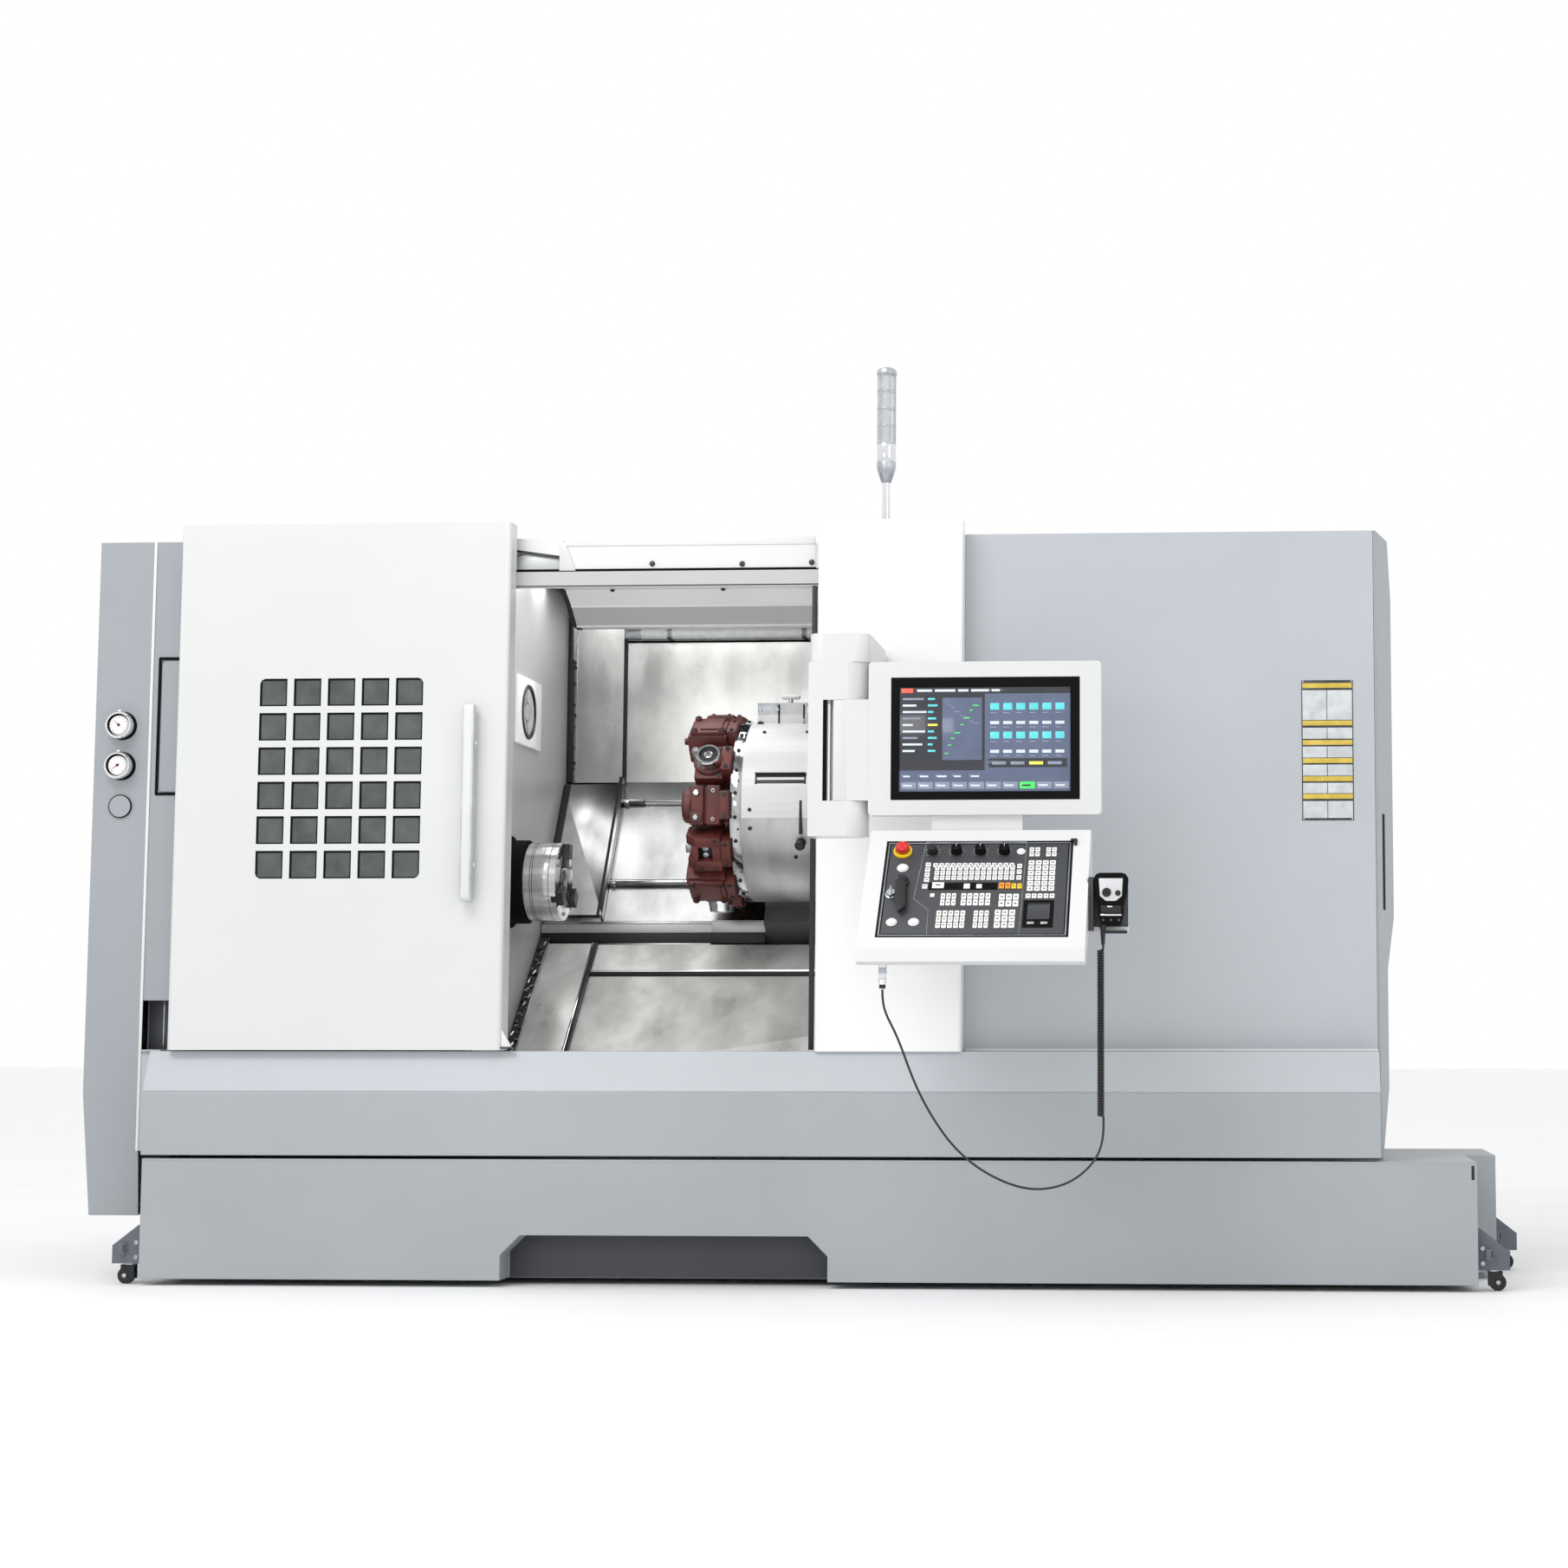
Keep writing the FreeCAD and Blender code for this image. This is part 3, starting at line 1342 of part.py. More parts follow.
def right_front_cover():
    """The plain front cover to the right of the post, folded back under the roof."""
    left = post_left + post_wide
    name("right_front_cover", profile("YZ", [
        (front_y, ledge_z),
        (front_y, body_top),
        (front_y + roof_flange, body_top),
        (front_y + roof_flange, body_top - sheet_wall),
        (front_y + sheet_wall, body_top - sheet_wall),
        (front_y + sheet_wall, ledge_z),
    ], left, body_right - left))


def right_end_cover():
    """The bulged cover over the tailstock end, open towards the machine."""
    wall = sheet_wall

    def solid(inset, left):
        right = body_right + bulge_out - inset
        foot = body_right + bulge_foot_out - inset
        top = body_top - inset
        low = cover_low + inset
        face = profile("XZ", [
            (left, low),
            (body_right + end_toe_out - inset, low),
            (foot, low + end_toe_high),
            (foot, bulge_low - bulge_slope),
            (right, bulge_low),
            (right, bulge_low + bulge_high),
            (right - end_top_in, top),
            (left, top),
        ], front_y, rear_y - inset - front_y)
        plan = profile("XY", [
            (left, front_y + inset),
            (body_right + end_front_out - inset, front_y + inset),
            (right, front_y + bulge_back + inset),
            (right, rear_y - inset),
            (left, rear_y - inset),
        ], low, top - low)
        return common(face, plan)

    grip = box((body_right, front_y + bulge_back + grip_slot_back, bulge_low + grip_slot_lift),
               (bulge_out + OVERCUT * 2, grip_slot_wide, grip_slot_high))
    name("right_end_cover", cut(solid(as_size(0), body_right), solid(wall, body_right - 5), grip))


def roof_and_rear():
    wall = sheet_wall
    name("roof_panel", box((seam_x, front_y + roof_flange, body_top - wall),
                           (body_right - seam_x, rear_y - front_y - roof_flange, wall)))
    name("rear_cover", box((seam_x, rear_y - wall, cover_low),
                           (body_right - seam_x, wall, body_top - wall - cover_low)))


def pressure_gauges():
    """Two flanged gauges and a blank round cap on the left end cover, as one group of solids."""
    group = []
    for step, radius, stand in ((0, cap_r, cap_stand), (1, gauge_r, gauge_stand), (2, gauge_r, gauge_stand)):
        z = gauge_low_z + gauge_pitch * step
        group.append(rod("y", (gauge_x, front_y - stand, z), radius, stand))
    name("pressure_gauges", join(*group))


def signal_tower():
    """A stack lamp on its pole: foot, pole, cone, base, lens and cap."""
    z = body_top
    parts = [rod("z", (tower_x, tower_y, z), tower_foot_r, tower_foot_high)]
    z = z + tower_foot_high
    parts.append(rod("z", (tower_x, tower_y, z), tower_pole_r, tower_pole_high))
    z = z + tower_pole_high
    parts.append(cone("z", (tower_x, tower_y, z), tower_pole_r + 4, tower_r, tower_cone_high))
    z = z + tower_cone_high
    lamp_high = tower_base_high + tower_lens_high + tower_cap_high
    parts.append(rod("z", (tower_x, tower_y, z), tower_r, lamp_high))
    name("signal_tower", join(*parts))


HINGE_SHARES = (0.1, 0.8)


def electrical_cabinet():
    """The cabinet on the rear cover, open at the back, and its hinged door."""
    wall = sheet_wall
    body = box((cabinet_left, rear_y, cabinet_low), (cabinet_wide, cabinet_deep, cabinet_high))
    inside = box((cabinet_left + wall, rear_y + wall, cabinet_low + wall),
                 (cabinet_wide - wall * 2, cabinet_deep, cabinet_high - wall * 2))
    back_y = rear_y + cabinet_deep
    pin_x = cabinet_left - hinge_r
    knuckles = []
    for share in HINGE_SHARES:
        z = cabinet_low + cabinet_high * share
        knuckles.append(rod("z", (pin_x, back_y + hinge_r, z), hinge_r, cabinet_high * 0.05))
        knuckles.append(box((pin_x, back_y - hinge_bite, z),
                            (hinge_r, hinge_bite + hinge_r, cabinet_high * 0.05)))
    pins = []
    for share in HINGE_SHARES:
        z = cabinet_low + cabinet_high * share
        pins.append(rod("z", (pin_x, back_y + hinge_r, z), hinge_r / 2, cabinet_high * 0.1))
    name("electrical_cabinet", join(cut(body, inside), *knuckles, *pins))
    leaf = box((cabinet_left + 1, back_y + clearance, cabinet_low),
               (cabinet_wide - 1, cabinet_door_thick, cabinet_high))
    sleeves = []
    holes = []
    for share in HINGE_SHARES:
        z = cabinet_low + cabinet_high * (share + 0.05) + clearance
        sleeves.append(rod("z", (pin_x, back_y + hinge_r, z), hinge_r, cabinet_high * 0.05))
        sleeves.append(box((pin_x, back_y + clearance, z), (hinge_r + 2, hinge_r, cabinet_high * 0.05)))
        holes.append(rod("z", (pin_x, back_y + hinge_r, z - 1), hinge_r / 2 + clearance,
                         cabinet_high * 0.05 + 2))
    name("cabinet_door", cut(join(leaf, *sleeves), *holes))


lower_front_cover()
left_end_cover()
headstock_cover()
access_hatch()
door()
door_header()
front_post()
right_front_cover()
right_end_cover()
roof_and_rear()
pressure_gauges()
signal_tower()
electrical_cabinet()


# ---------------------------------------------------------------- operator pod
lug_front = pod_pin_y - lug_r
arm_z = screen_low + screen_high + 3


def support_arm():
    """The fixed arm from the post, with a lug above and below the pod's knuckle and the pin."""
    arm = box((spine_left, lug_front, arm_z), (screen_left - spine_left, post_y - lug_front, arm_high))
    arm = rounded(arm,
                  arm_round, "z")
    spine = box((spine_left, lug_front, pod_low_lug), (spine_wide, lug_r * 2, arm_z - pod_low_lug))
    parts = [arm, spine]
    upper_lug = pod_low_lug + lug_high + knuckle_high
    for z, high in ((pod_low_lug, lug_high), (upper_lug, arm_z - upper_lug)):
        parts.append(rod("z", (pod_pin_x, pod_pin_y, z), lug_r, high))
        parts.append(box((spine_left, lug_front, z), (pod_pin_x - spine_left, lug_r * 2, high)))
    parts.append(rod("z", (pod_pin_x, pod_pin_y, pod_low_lug + pin_sunk), pin_r,
                     arm_z - pod_low_lug - pin_sunk))
    name("support_arm", join(*parts))


def screen_housing():
    """The rounded monitor box with its recessed bezel, rear bulge, knuckle and neck."""
    shell = box((screen_left, screen_y, screen_low), (screen_wide, screen_thick, screen_high))
    shell = rounded(shell, corner_r, "y")
    recess = box((screen_left + bezel_inset, screen_y - 1, screen_low + bezel_low_inset),
                 (screen_wide - bezel_inset * 2, bezel_deep + 1, screen_high - bezel_low_inset * 2))
    inset = screen_back_inset
    bulge = box((screen_left + inset * 2, screen_y + screen_thick - 1, screen_low + inset),
                (screen_wide - inset * 3, screen_back + 1, screen_high - inset * 2))
    knuckle_low = pod_low_lug + lug_high + clearance
    knuckle_span = knuckle_high - clearance * 2
    barrel = rod("z", (pod_pin_x, pod_pin_y, knuckle_low), lug_r, knuckle_span)
    tab = box((pod_pin_x, lug_front, knuckle_low),
              (screen_left - pod_pin_x + 1, lug_r * 2 - 2, knuckle_span))
    pin_hole = rod("z", (pod_pin_x, pod_pin_y, knuckle_low - 1), pin_r + clearance, knuckle_span + 2)
    neck = box((neck_left, screen_y + neck_sunk, console_top),
               (neck_wide, neck_thick, screen_low - console_top + 1))
    name("screen_housing", cut(join(cut(shell, recess), bulge, barrel, tab, neck), pin_hole))


console_front_y = screen_y - console_run
console_low_z = console_top - console_fall
desk = Slope(console_front_y, console_low_z, console_tilt)
console_back_y = screen_y + screen_thick


def console_housing():
    """The sloping console under the monitor, with the bracket for the hand pendant."""
    hull = profile("YZ", [
        (screen_y, console_top),
        (console_front_y, console_low_z),
        (console_front_y, console_low_z - console_lip),
        (console_front_y + console_lip_run, console_low_z - console_lip - console_lip_fall),
        (console_back_y, console_back_low),
        (console_back_y, console_top),
    ], console_left, console_wide)
    right = console_left + console_wide
    plate = box((right, holder_y, pendant_low - holder_margin),
                (pendant_left + pendant_wide - right, holder_thick, pendant_high - holder_margin * 2))
    panel_pocket = desk.box((console_left + panel_left_inset, panel_low_u, 0 - panel_thick),
                            (panel_wide, panel_long, panel_thick + 5))
    stem_hole = desk.rod(console_left + estop_x, estop_u, 0 - panel_thick - OVERCUT * 2,
                         estop_stem_r + clearance, OVERCUT * 3)
    name("console_housing", cut(join(hull, plate), panel_pocket, stem_hole))


def key_panel():
    """The dark key plate with its keys, display, switch row and knobs fused to it."""
    left = console_left + panel_left_inset
    plate = desk.box((left, panel_low_u, 0 - panel_thick), (panel_wide, panel_long, panel_thick))
    keys = []
    blocks = (
        # columns, rows, first x, first u
        (14, 4, 130, 262),
        (4, 4, 455, 302),
        (5, 3, 150, 140),
        (7, 4, 258, 62),
        (4, 3, 455, 200),
    )
    for columns, rows, first_x, first_u in blocks:
        for column in range(columns):
            for row in range(rows):
                key_x = console_left + first_x + key_pitch * column
                key_u = first_u + key_pitch * row
                keys.append(desk.box((key_x, key_u, -1), (key_size, key_size, key_high + 1)))
    for step in range(1, 4):
        keys.append(desk.rod(console_left + knob_x + knob_pitch * step, estop_u, -1, knob_r, knob_high + 1))
    keys.append(desk.box((console_left + display_x, display_u, -1), (display_wide, display_long, 3)))
    for step in range(2):
        upper_u = switch_u + button_pitch * step
        keys.append(desk.rod(console_left + button_x, upper_u, -1, button_r, key_high + 4))
        lower_x = button_x + button_pitch * step
        keys.append(desk.rod(console_left + lower_x, button_u, -1, button_r, key_high + 4))
    keys.append(desk.rod(console_left + estop_x, estop_u, -1, estop_base_r, estop_base_high + 1))
    estop_hole = desk.rod(console_left + estop_x, estop_u, 0 - OVERCUT, estop_stem_r + clearance, OVERCUT * 3)
    knob_hole = desk.rod(console_left + knob_x, estop_u, 0 - panel_thick - 1, knob_r / 2 + clearance,
                         panel_thick + 2)
    name("key_panel", cut(join(plate, *keys), estop_hole, knob_hole))


def estop_button():
    """The mushroom head on its stem, standing its travel above the panel."""
    rise = estop_base_high + estop_travel + clearance
    head = desk.rod(console_left + estop_x, estop_u, rise, estop_r, estop_high)
    foot = 0 - panel_thick - 8
    stem = desk.rod(console_left + estop_x, estop_u, foot, estop_stem_r, rise - foot + 2)
    name("estop_button", join(head, stem))


def override_knob():
    """The feed override dial with its stub in the panel."""
    dial = desk.rod(console_left + knob_x, estop_u, clearance, knob_r, knob_high)
    stub = desk.rod(console_left + knob_x, estop_u, 0 - panel_thick + clearance, knob_r / 2, panel_thick + 1)
    name("override_knob", join(dial, stub))


pendant_x = pendant_left + pendant_wide / 2


def pendant():
    """The hand-wheel pendant that hangs on its bracket, with its cord relief below."""
    body = rounded(box((pendant_left, holder_y - pendant_thick - clearance, pendant_low),
                       (pendant_wide, pendant_thick, pendant_high)), corner_r, "y")
    dial_y = holder_y - pendant_thick - clearance - dial_high
    dial = rod("y", (pendant_x, dial_y, pendant_low + pendant_high * dial_share), dial_r, dial_high + 1)
    coil_wind_r = coil_r - cord_d / 2
    relief = rod("z", (coil_x + coil_wind_r, coil_y - coil_wind_r, coil_top), relief_r,
                 pendant_low - coil_top + 1)
    name("pendant", join(body, dial, relief))


def arc_pair(start, start_way, end, end_way):
    """Two arcs that meet smoothly and leave and reach the two points along the given ways."""
    across = end - start
    both = start_way + end_way
    spread = 2 * (1 - start_way.dot(end_way))
    along = across.dot(both)
    reach = (math.sqrt(along * along + spread * across.dot(across)) - along) / spread
    meet = (start + end + (start_way - end_way) * reach) * 0.5
    edges = []
    for first, last, corner in ((start, meet, start + start_way * reach), (meet, end, end - end_way * reach)):
        chord_middle = (first + last) * 0.5
        half_chord = (last - first).Length / 2
        towards_corner = corner - chord_middle
        half_turn = math.atan2(towards_corner.Length, half_chord)
        bulge = half_chord * math.tan(half_turn / 2)
        crown = chord_middle + towards_corner.normalize() * bulge
        edges.append(Part.Arc(first, crown, last).toShape())
    return edges


def coil_route():
    """The curly stretch: straight in, a quarter turn, the helix, a quarter turn, straight out."""
    wire = cord_d.value
    radius = coil_r.value - wire / 2
    first_z = coil_top.value - wire - radius
    last_z = coil_low.value + wire + radius
    pitch = (first_z - last_z) / coil_turns
    rise = math.atan2(pitch, 2 * math.pi * radius)
    down = FreeCAD.Vector(0, 0, -1)

    def on_helix(angle):
        across = math.cos(angle)
        inwards = math.sin(angle)
        point = FreeCAD.Vector(coil_x.value + radius * across, coil_y.value + radius * inwards,
                               first_z - pitch * angle / (2 * math.pi))
        way = FreeCAD.Vector(-inwards * math.cos(rise), across * math.cos(rise), -math.sin(rise))
        return point, way

    top, top_way = on_helix(0)
    entry = FreeCAD.Vector(top.x, top.y - radius, top.z + radius)
    start = entry - down * wire
    edges = [Part.LineSegment(start, entry).toShape()]
    edges += arc_pair(entry, down, top, top_way)
    for half_turn in range(coil_turns * 2):
        here, here_way = on_helix(math.pi * half_turn)
        there, there_way = on_helix(math.pi * (half_turn + 1))
        edges += arc_pair(here, here_way, there, there_way)
    foot, foot_way = on_helix(2 * math.pi * coil_turns)
    leave = FreeCAD.Vector(foot.x, foot.y + radius, foot.z - radius)
    end = leave + down * wire
    edges += arc_pair(foot, foot_way, leave, down)
    edges.append(Part.LineSegment(leave, end).toShape())
    print("coil turns", coil_turns, "wire", wire, "least gap", round(least_gap(on_helix, wire), 2))
    return edges, start, end


def least_gap(on_helix, wire):
    """The least distance between one turn and the next, measured on points, less the wire."""
    here, _ = on_helix(0)
    nearest = min((on_helix(2 * math.pi * (0.75 + step / 200))[0] - here).Length for step in range(101))
    return nearest - wire


def sweep(edges, start, way, diameter):
    """A tube of the given diameter along a path."""
    ring = Part.Circle(start, way, diameter / 2).toShape()
    return Part.Wire(edges).makePipeShell([Part.Wire([ring])], True, False)


def pendant_coil():
    """The curly part of the cord, as one unbroken tube."""
    edges, start, _ = coil_route()
    coil = doc.addObject("Part::Feature", "pendant_coil")
    coil.Shape = sweep(edges, start, FreeCAD.Vector(0, 0, -1), cord_d.value)
    put(coil, 0, 0, 0)
    name("pendant_coil", coil)


# The free loop of the cord from the coil's foot down and back up to the gland, point by point.
CORD_POINTS = (
    (984, -530, 520), (984, -530, 484), (977, -540, 444), (958, -551, 407), (926, -562, 374),
    (885, -572, 348), (836, -580, 334), (786, -589, 332), (736, -598, 343), (686, -606, 364),
    (638, -614, 392), (596, -622, 426), (558, -629, 466), (525, -636, 512), (496, -643, 560),
    (470, -650, 612), (448, -657, 666), (429, -663, 720), (409, -669, 770), (386, -676, 814),
    (374, -680, 854), (374, -680, 890),
)


def cord_tube(points, diameter):
    """A tube along straight runs joined by tangent arcs as large as the runs allow."""
    vectors = [FreeCAD.Vector(*point) for point in points]
    edges = []
    radii = []
    cursor = vectors[0]
    for index in range(1, len(vectors) - 1):
        before = vectors[index] - vectors[index - 1]
        after = vectors[index + 1] - vectors[index]
        turn = before.getAngle(after)
        trim = 0.45 * min(before.Length, after.Length)
        radii.append(trim / math.tan(turn / 2))
        entry = vectors[index] - FreeCAD.Vector(before).normalize() * trim
        leave = vectors[index] + FreeCAD.Vector(after).normalize() * trim
        inward = (FreeCAD.Vector(after).normalize() - FreeCAD.Vector(before).normalize()).normalize()
        centre_distance = radii[-1] / math.cos(turn / 2)
        crown = vectors[index] + inward * (centre_distance - radii[-1])
        edges.append(Part.LineSegment(cursor, entry).toShape())
        edges.append(Part.Arc(entry, crown, leave).toShape())
        cursor = leave
    edges.append(Part.LineSegment(cursor, vectors[-1]).toShape())
    wire = Part.Wire(edges)
    tube = sweep(edges, vectors[0], vectors[1] - vectors[0], diameter)
    area = math.pi * diameter * diameter / 4
    print("cord length", round(wire.Length, 1), "least radius", round(min(radii), 1),
          "volume ratio", round(tube.Volume / (area * wire.Length), 4))
    return tube


def pendant_cable():
    cable = doc.addObject("Part::Feature", "pendant_cable")
    cable.Shape = cord_tube(CORD_POINTS, cord_d.value)
    put(cable, 0, 0, 0)
    name("pendant_cable", cable)


def cable_gland():
    """The plug and gland under the console that the cord goes back into."""
    x, y, z = CORD_POINTS[-1]
    name("cable_gland", rod("z", (x, y, z), gland_r, gland_len))


support_arm()
screen_housing()
console_housing()
key_panel()
estop_button()
override_knob()
pendant()
pendant_coil()
pendant_cable()
cable_gland()


# ---------------------------------------------------------------- check and write
doc.recompute()
for thing in doc.Objects:
    if "Invalid" in thing.State or "Error" in thing.State:
        raise RuntimeError(f"{thing.Name} {thing.Label} failed: {thing.State}")
os.makedirs("parts", exist_ok=True)
for node in nodes:
    shape = node.Shape
    if shape.isNull() or not shape.isValid() or not shape.Solids:
        raise RuntimeError(f"{node.Label} has no valid solid")
    shape.exportStep(f"parts/{node.Label}.step")
print(len(nodes), "sub-parts written")
whole = Part.makeCompound([node.Shape for node in nodes])
limits = whole.BoundBox
reach = (limits.XMin, limits.XMax, limits.YMin, limits.YMax, limits.ZMin, limits.ZMax)
print("box", [round(v, 1) for v in reach])
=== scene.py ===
# %% [markdown]
# # A slant-bed CNC turning lathe
# The steel itself comes from the CAD model: covers, bed, door, chuck, turret and pod are fixed shapes here.
# This file gives them their finishes and adds what a solid model leaves out, such as trim, bolts, keys and lamps.
# Loading comes first, because every later piece is placed against the loaded model and rides on one of its bodies.

import math

import bmesh
import bpy
from mathutils import Matrix, Vector


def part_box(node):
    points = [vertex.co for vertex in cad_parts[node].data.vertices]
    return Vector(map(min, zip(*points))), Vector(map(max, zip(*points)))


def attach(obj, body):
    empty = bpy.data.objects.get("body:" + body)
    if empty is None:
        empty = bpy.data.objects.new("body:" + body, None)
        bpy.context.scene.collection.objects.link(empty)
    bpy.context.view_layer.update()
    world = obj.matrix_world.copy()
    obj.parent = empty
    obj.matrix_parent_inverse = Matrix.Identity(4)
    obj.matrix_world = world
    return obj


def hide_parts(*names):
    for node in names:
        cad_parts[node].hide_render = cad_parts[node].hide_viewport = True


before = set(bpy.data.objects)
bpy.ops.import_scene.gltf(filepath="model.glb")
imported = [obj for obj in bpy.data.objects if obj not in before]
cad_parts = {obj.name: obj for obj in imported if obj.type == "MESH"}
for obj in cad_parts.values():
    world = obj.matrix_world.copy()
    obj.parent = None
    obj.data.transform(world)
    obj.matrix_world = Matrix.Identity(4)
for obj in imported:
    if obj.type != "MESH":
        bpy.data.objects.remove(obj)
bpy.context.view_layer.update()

# %% [markdown]
# ## One ruler for every piece
# The machine is measured in millimetres from a corner on the floor: X along the coolant tank, Y into the machine
# from the tank's front, Z up. Blender works in metres, so one matrix turns these numbers into scene places.
# Two leaning frames follow the bed's covers and the operator desk, so that a key or a rod on a slope can be
# given by how far up the slope it is, instead of by sums with sines.

# %% The three frames
TANK_LEFT, TANK_LIFT = -1980, 20
tank_corner = Vector(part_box("coolant_tank")[0])
MILLI = 0.001
origin = tank_corner - Vector((TANK_LEFT, 0, TANK_LIFT)) * MILLI
WORLD = Matrix.Translation(origin) @ Matrix.Scale(MILLI, 4)


def slope(base_y, base_z, degrees):
    """A frame that leans back about a line along X: its y runs up the slope and its z stands off it."""
    lean = Matrix.Rotation(math.radians(degrees), 4, "X")
    return WORLD @ Matrix.Translation((0, base_y, base_z)) @ lean


COVER_FRONT, ROOF_TOP = 130, 2309
WAYS = slope(1000, 1138, 56)
DESK = slope(-740, 1000, 45.83)
print("floor corner", [round(v, 4) for v in WORLD @ Vector((0, 0, 0))])

# %% [markdown]
# ## The camera
# The picture was taken from a little right of the door, at chest height, with a longer lens from about nine
# metres. A matching lens and shift keep upright edges upright, which matters on such a boxy machine. Colours are
# shown as they are, without a film curve, so a paint looks like the shade that it was given. The helper for new
# objects comes first, since the camera, the lamps and every piece go through it.


# %% Camera
def add(label, data):
    """Puts a camera, a lamp, a mesh or a curve into the scene as an object."""
    thing = bpy.data.objects.new(label, data)
    bpy.context.scene.collection.objects.link(thing)
    return thing


camera = add("camera", bpy.data.cameras.new("camera"))
camera.data.lens, camera.data.sensor_width = 65.64, 36
camera.data.shift_x, camera.data.shift_y = -0.1796, -0.0326
camera.location = (1.3255, -9.48115, 0.798)
camera.rotation_euler = (math.radians(95.77), 0, math.radians(3.3))
bpy.context.scene.camera = camera
bpy.context.scene.view_settings.view_transform = "Standard"
print("camera", camera.location)

# %% [markdown]
# ## Floor and light
# A pale floor and a pale sky stand in for a photo studio. Steel shows what is around it, so two broad soft
# lamps and a bright surround matter more here than for a matt object. A third lamp looks in through the doorway.
# Three soft panels under the roof light the working room, and the sloping steel mirrors them as bright patches.

# %% Floor, sky and lamps
FLOOR_REACH = 40
floor_mesh = bpy.data.meshes.new("floor")
floor_corners = [(x * FLOOR_REACH, y * FLOOR_REACH, 0) for x, y in ((-1, -1), (1, -1), (1, 1), (-1, 1))]
floor_mesh.from_pydata(floor_corners, [], [(0, 1, 2, 3)])
floor = add("floor", floor_mesh)

world = bpy.data.worlds.new("studio")
bpy.context.scene.world = world
world.use_nodes = True
sky = world.node_tree.nodes["Background"]
sky.inputs["Color"].default_value = (1, 1, 1, 1)
sky.inputs["Strength"].default_value = 1


def lamp(label, place, aim, size, power):
    """A broad soft light at a place, turned towards a point."""
    light = add(label, bpy.data.lights.new(label, "AREA"))
    light.data.shape, light.data.energy = "RECTANGLE", power
    light.data.size, light.data.size_y = size
    light.location = place
    light.rotation_euler = (Vector(aim) - Vector(place)).to_track_quat("-Z", "Y").to_euler()


lamp("key_light", (-2.5, -5.5, 6.5), (0, 0, 1.0), (4, 3), 200)
lamp("side_light", (5.5, -6, 3.5), (0, 0, 1.2), (3, 4), 25)
lamp("room_light", (-1.6, -6, 2.4), (-0.45, 0.5, 1.75), (1.6, 0.9), 12)
UNDER_ROOF = 2292
for label, left, right, near, far, power in (("way_panel", -960, 60, 340, 720, 4.4),
                                             ("apron_panel", -840, -250, 790, 1000, 1.4),
                                             ("chute_panel", -990, -900, 780, 960, 0.45)):
    middle = WORLD @ Vector(((left + right) / 2, (near + far) / 2, UNDER_ROOF))
    lamp(label, middle, middle - Vector((0, 0, 1)), ((right - left) * MILLI, (far - near) * MILLI), power)

# %% [markdown]
# ## Finishes
# Sheet steel with powder coat is never one flat colour: fine orange peel breaks the gloss, and the shade drifts
# a little over a metre. Brushed stainless has the same build with long thin noise. So one helper makes both: two
# close shades mixed by a broad noise, a gloss that varies, and a fine grain as bump, each with its own scale.


# %% A helper for finishes
def linear(shade):
    """An everyday 0 to 255 colour as the light values that Blender works with; light values stay as they are."""
    if len(shade) == 4:
        return shade
    return tuple((v / 255 / 12.92) if v < 10 else ((v / 255 + 0.055) / 1.055) ** 2.4 for v in shade) + (1,)


def finish(label, light, dark, gloss, grain=900, bump=0.04, drift=1.6, stretch=(1, 1, 1), **fixed):
    """A procedural finish: two close shades, uneven gloss and a fine grain; fixed sets plain sockets.

    The dark shade is a colour of its own, or a number that says how much darker it is than the light one.
    """
    dark = tuple(v - dark for v in light) if isinstance(dark, int) else dark
    material = bpy.data.materials.new(label)
    material.use_nodes = True
    nodes, links = material.node_tree.nodes, material.node_tree.links

    def preset(node, values):
        for socket, value in values.items():
            node.inputs[socket.replace("_", " ")].default_value = value
        return node

    def node(kind, **values):
        return preset(nodes.new("ShaderNode" + kind), values)

    surface, place, scale = nodes["Principled BSDF"], node("TexCoord"), node("Mapping", Scale=stretch)
    broad, fine = node("TexNoise", Scale=drift, Detail=5), node("TexNoise", Scale=grain, Detail=3)
    shades = node("ValToRGB")
    for stop, position, shade in zip(shades.color_ramp.elements, (0.32, 0.68), (dark, light)):
        stop.position, stop.color = position, linear(shade)
    sheen = node("MapRange", To_Min=gloss[0], To_Max=gloss[1])
    peel = node("Bump", Strength=bump, Distance=0.001)
    for start, out, end, into in (
            (place, "Object", scale, "Vector"), (scale, "Vector", broad, "Vector"), (scale, "Vector", fine, "Vector"),
            (broad, "Fac", shades, "Fac"), (shades, "Color", surface, "Base Color"),
            (broad, "Fac", sheen, "Value"), (sheen, "Result", surface, "Roughness"),
            (fine, "Fac", peel, "Height"), (peel, "Normal", surface, "Normal")):
        links.new(start.outputs[out], end.inputs[into])
    preset(surface, fixed)
    return material


# %% [markdown]
# ### Paints
# The big covers are pale blue-grey, the end cover and the tank a shade darker, and the door, post and pod white.
# All are powder coats with a satin gloss and a fine texture that only shows close up.

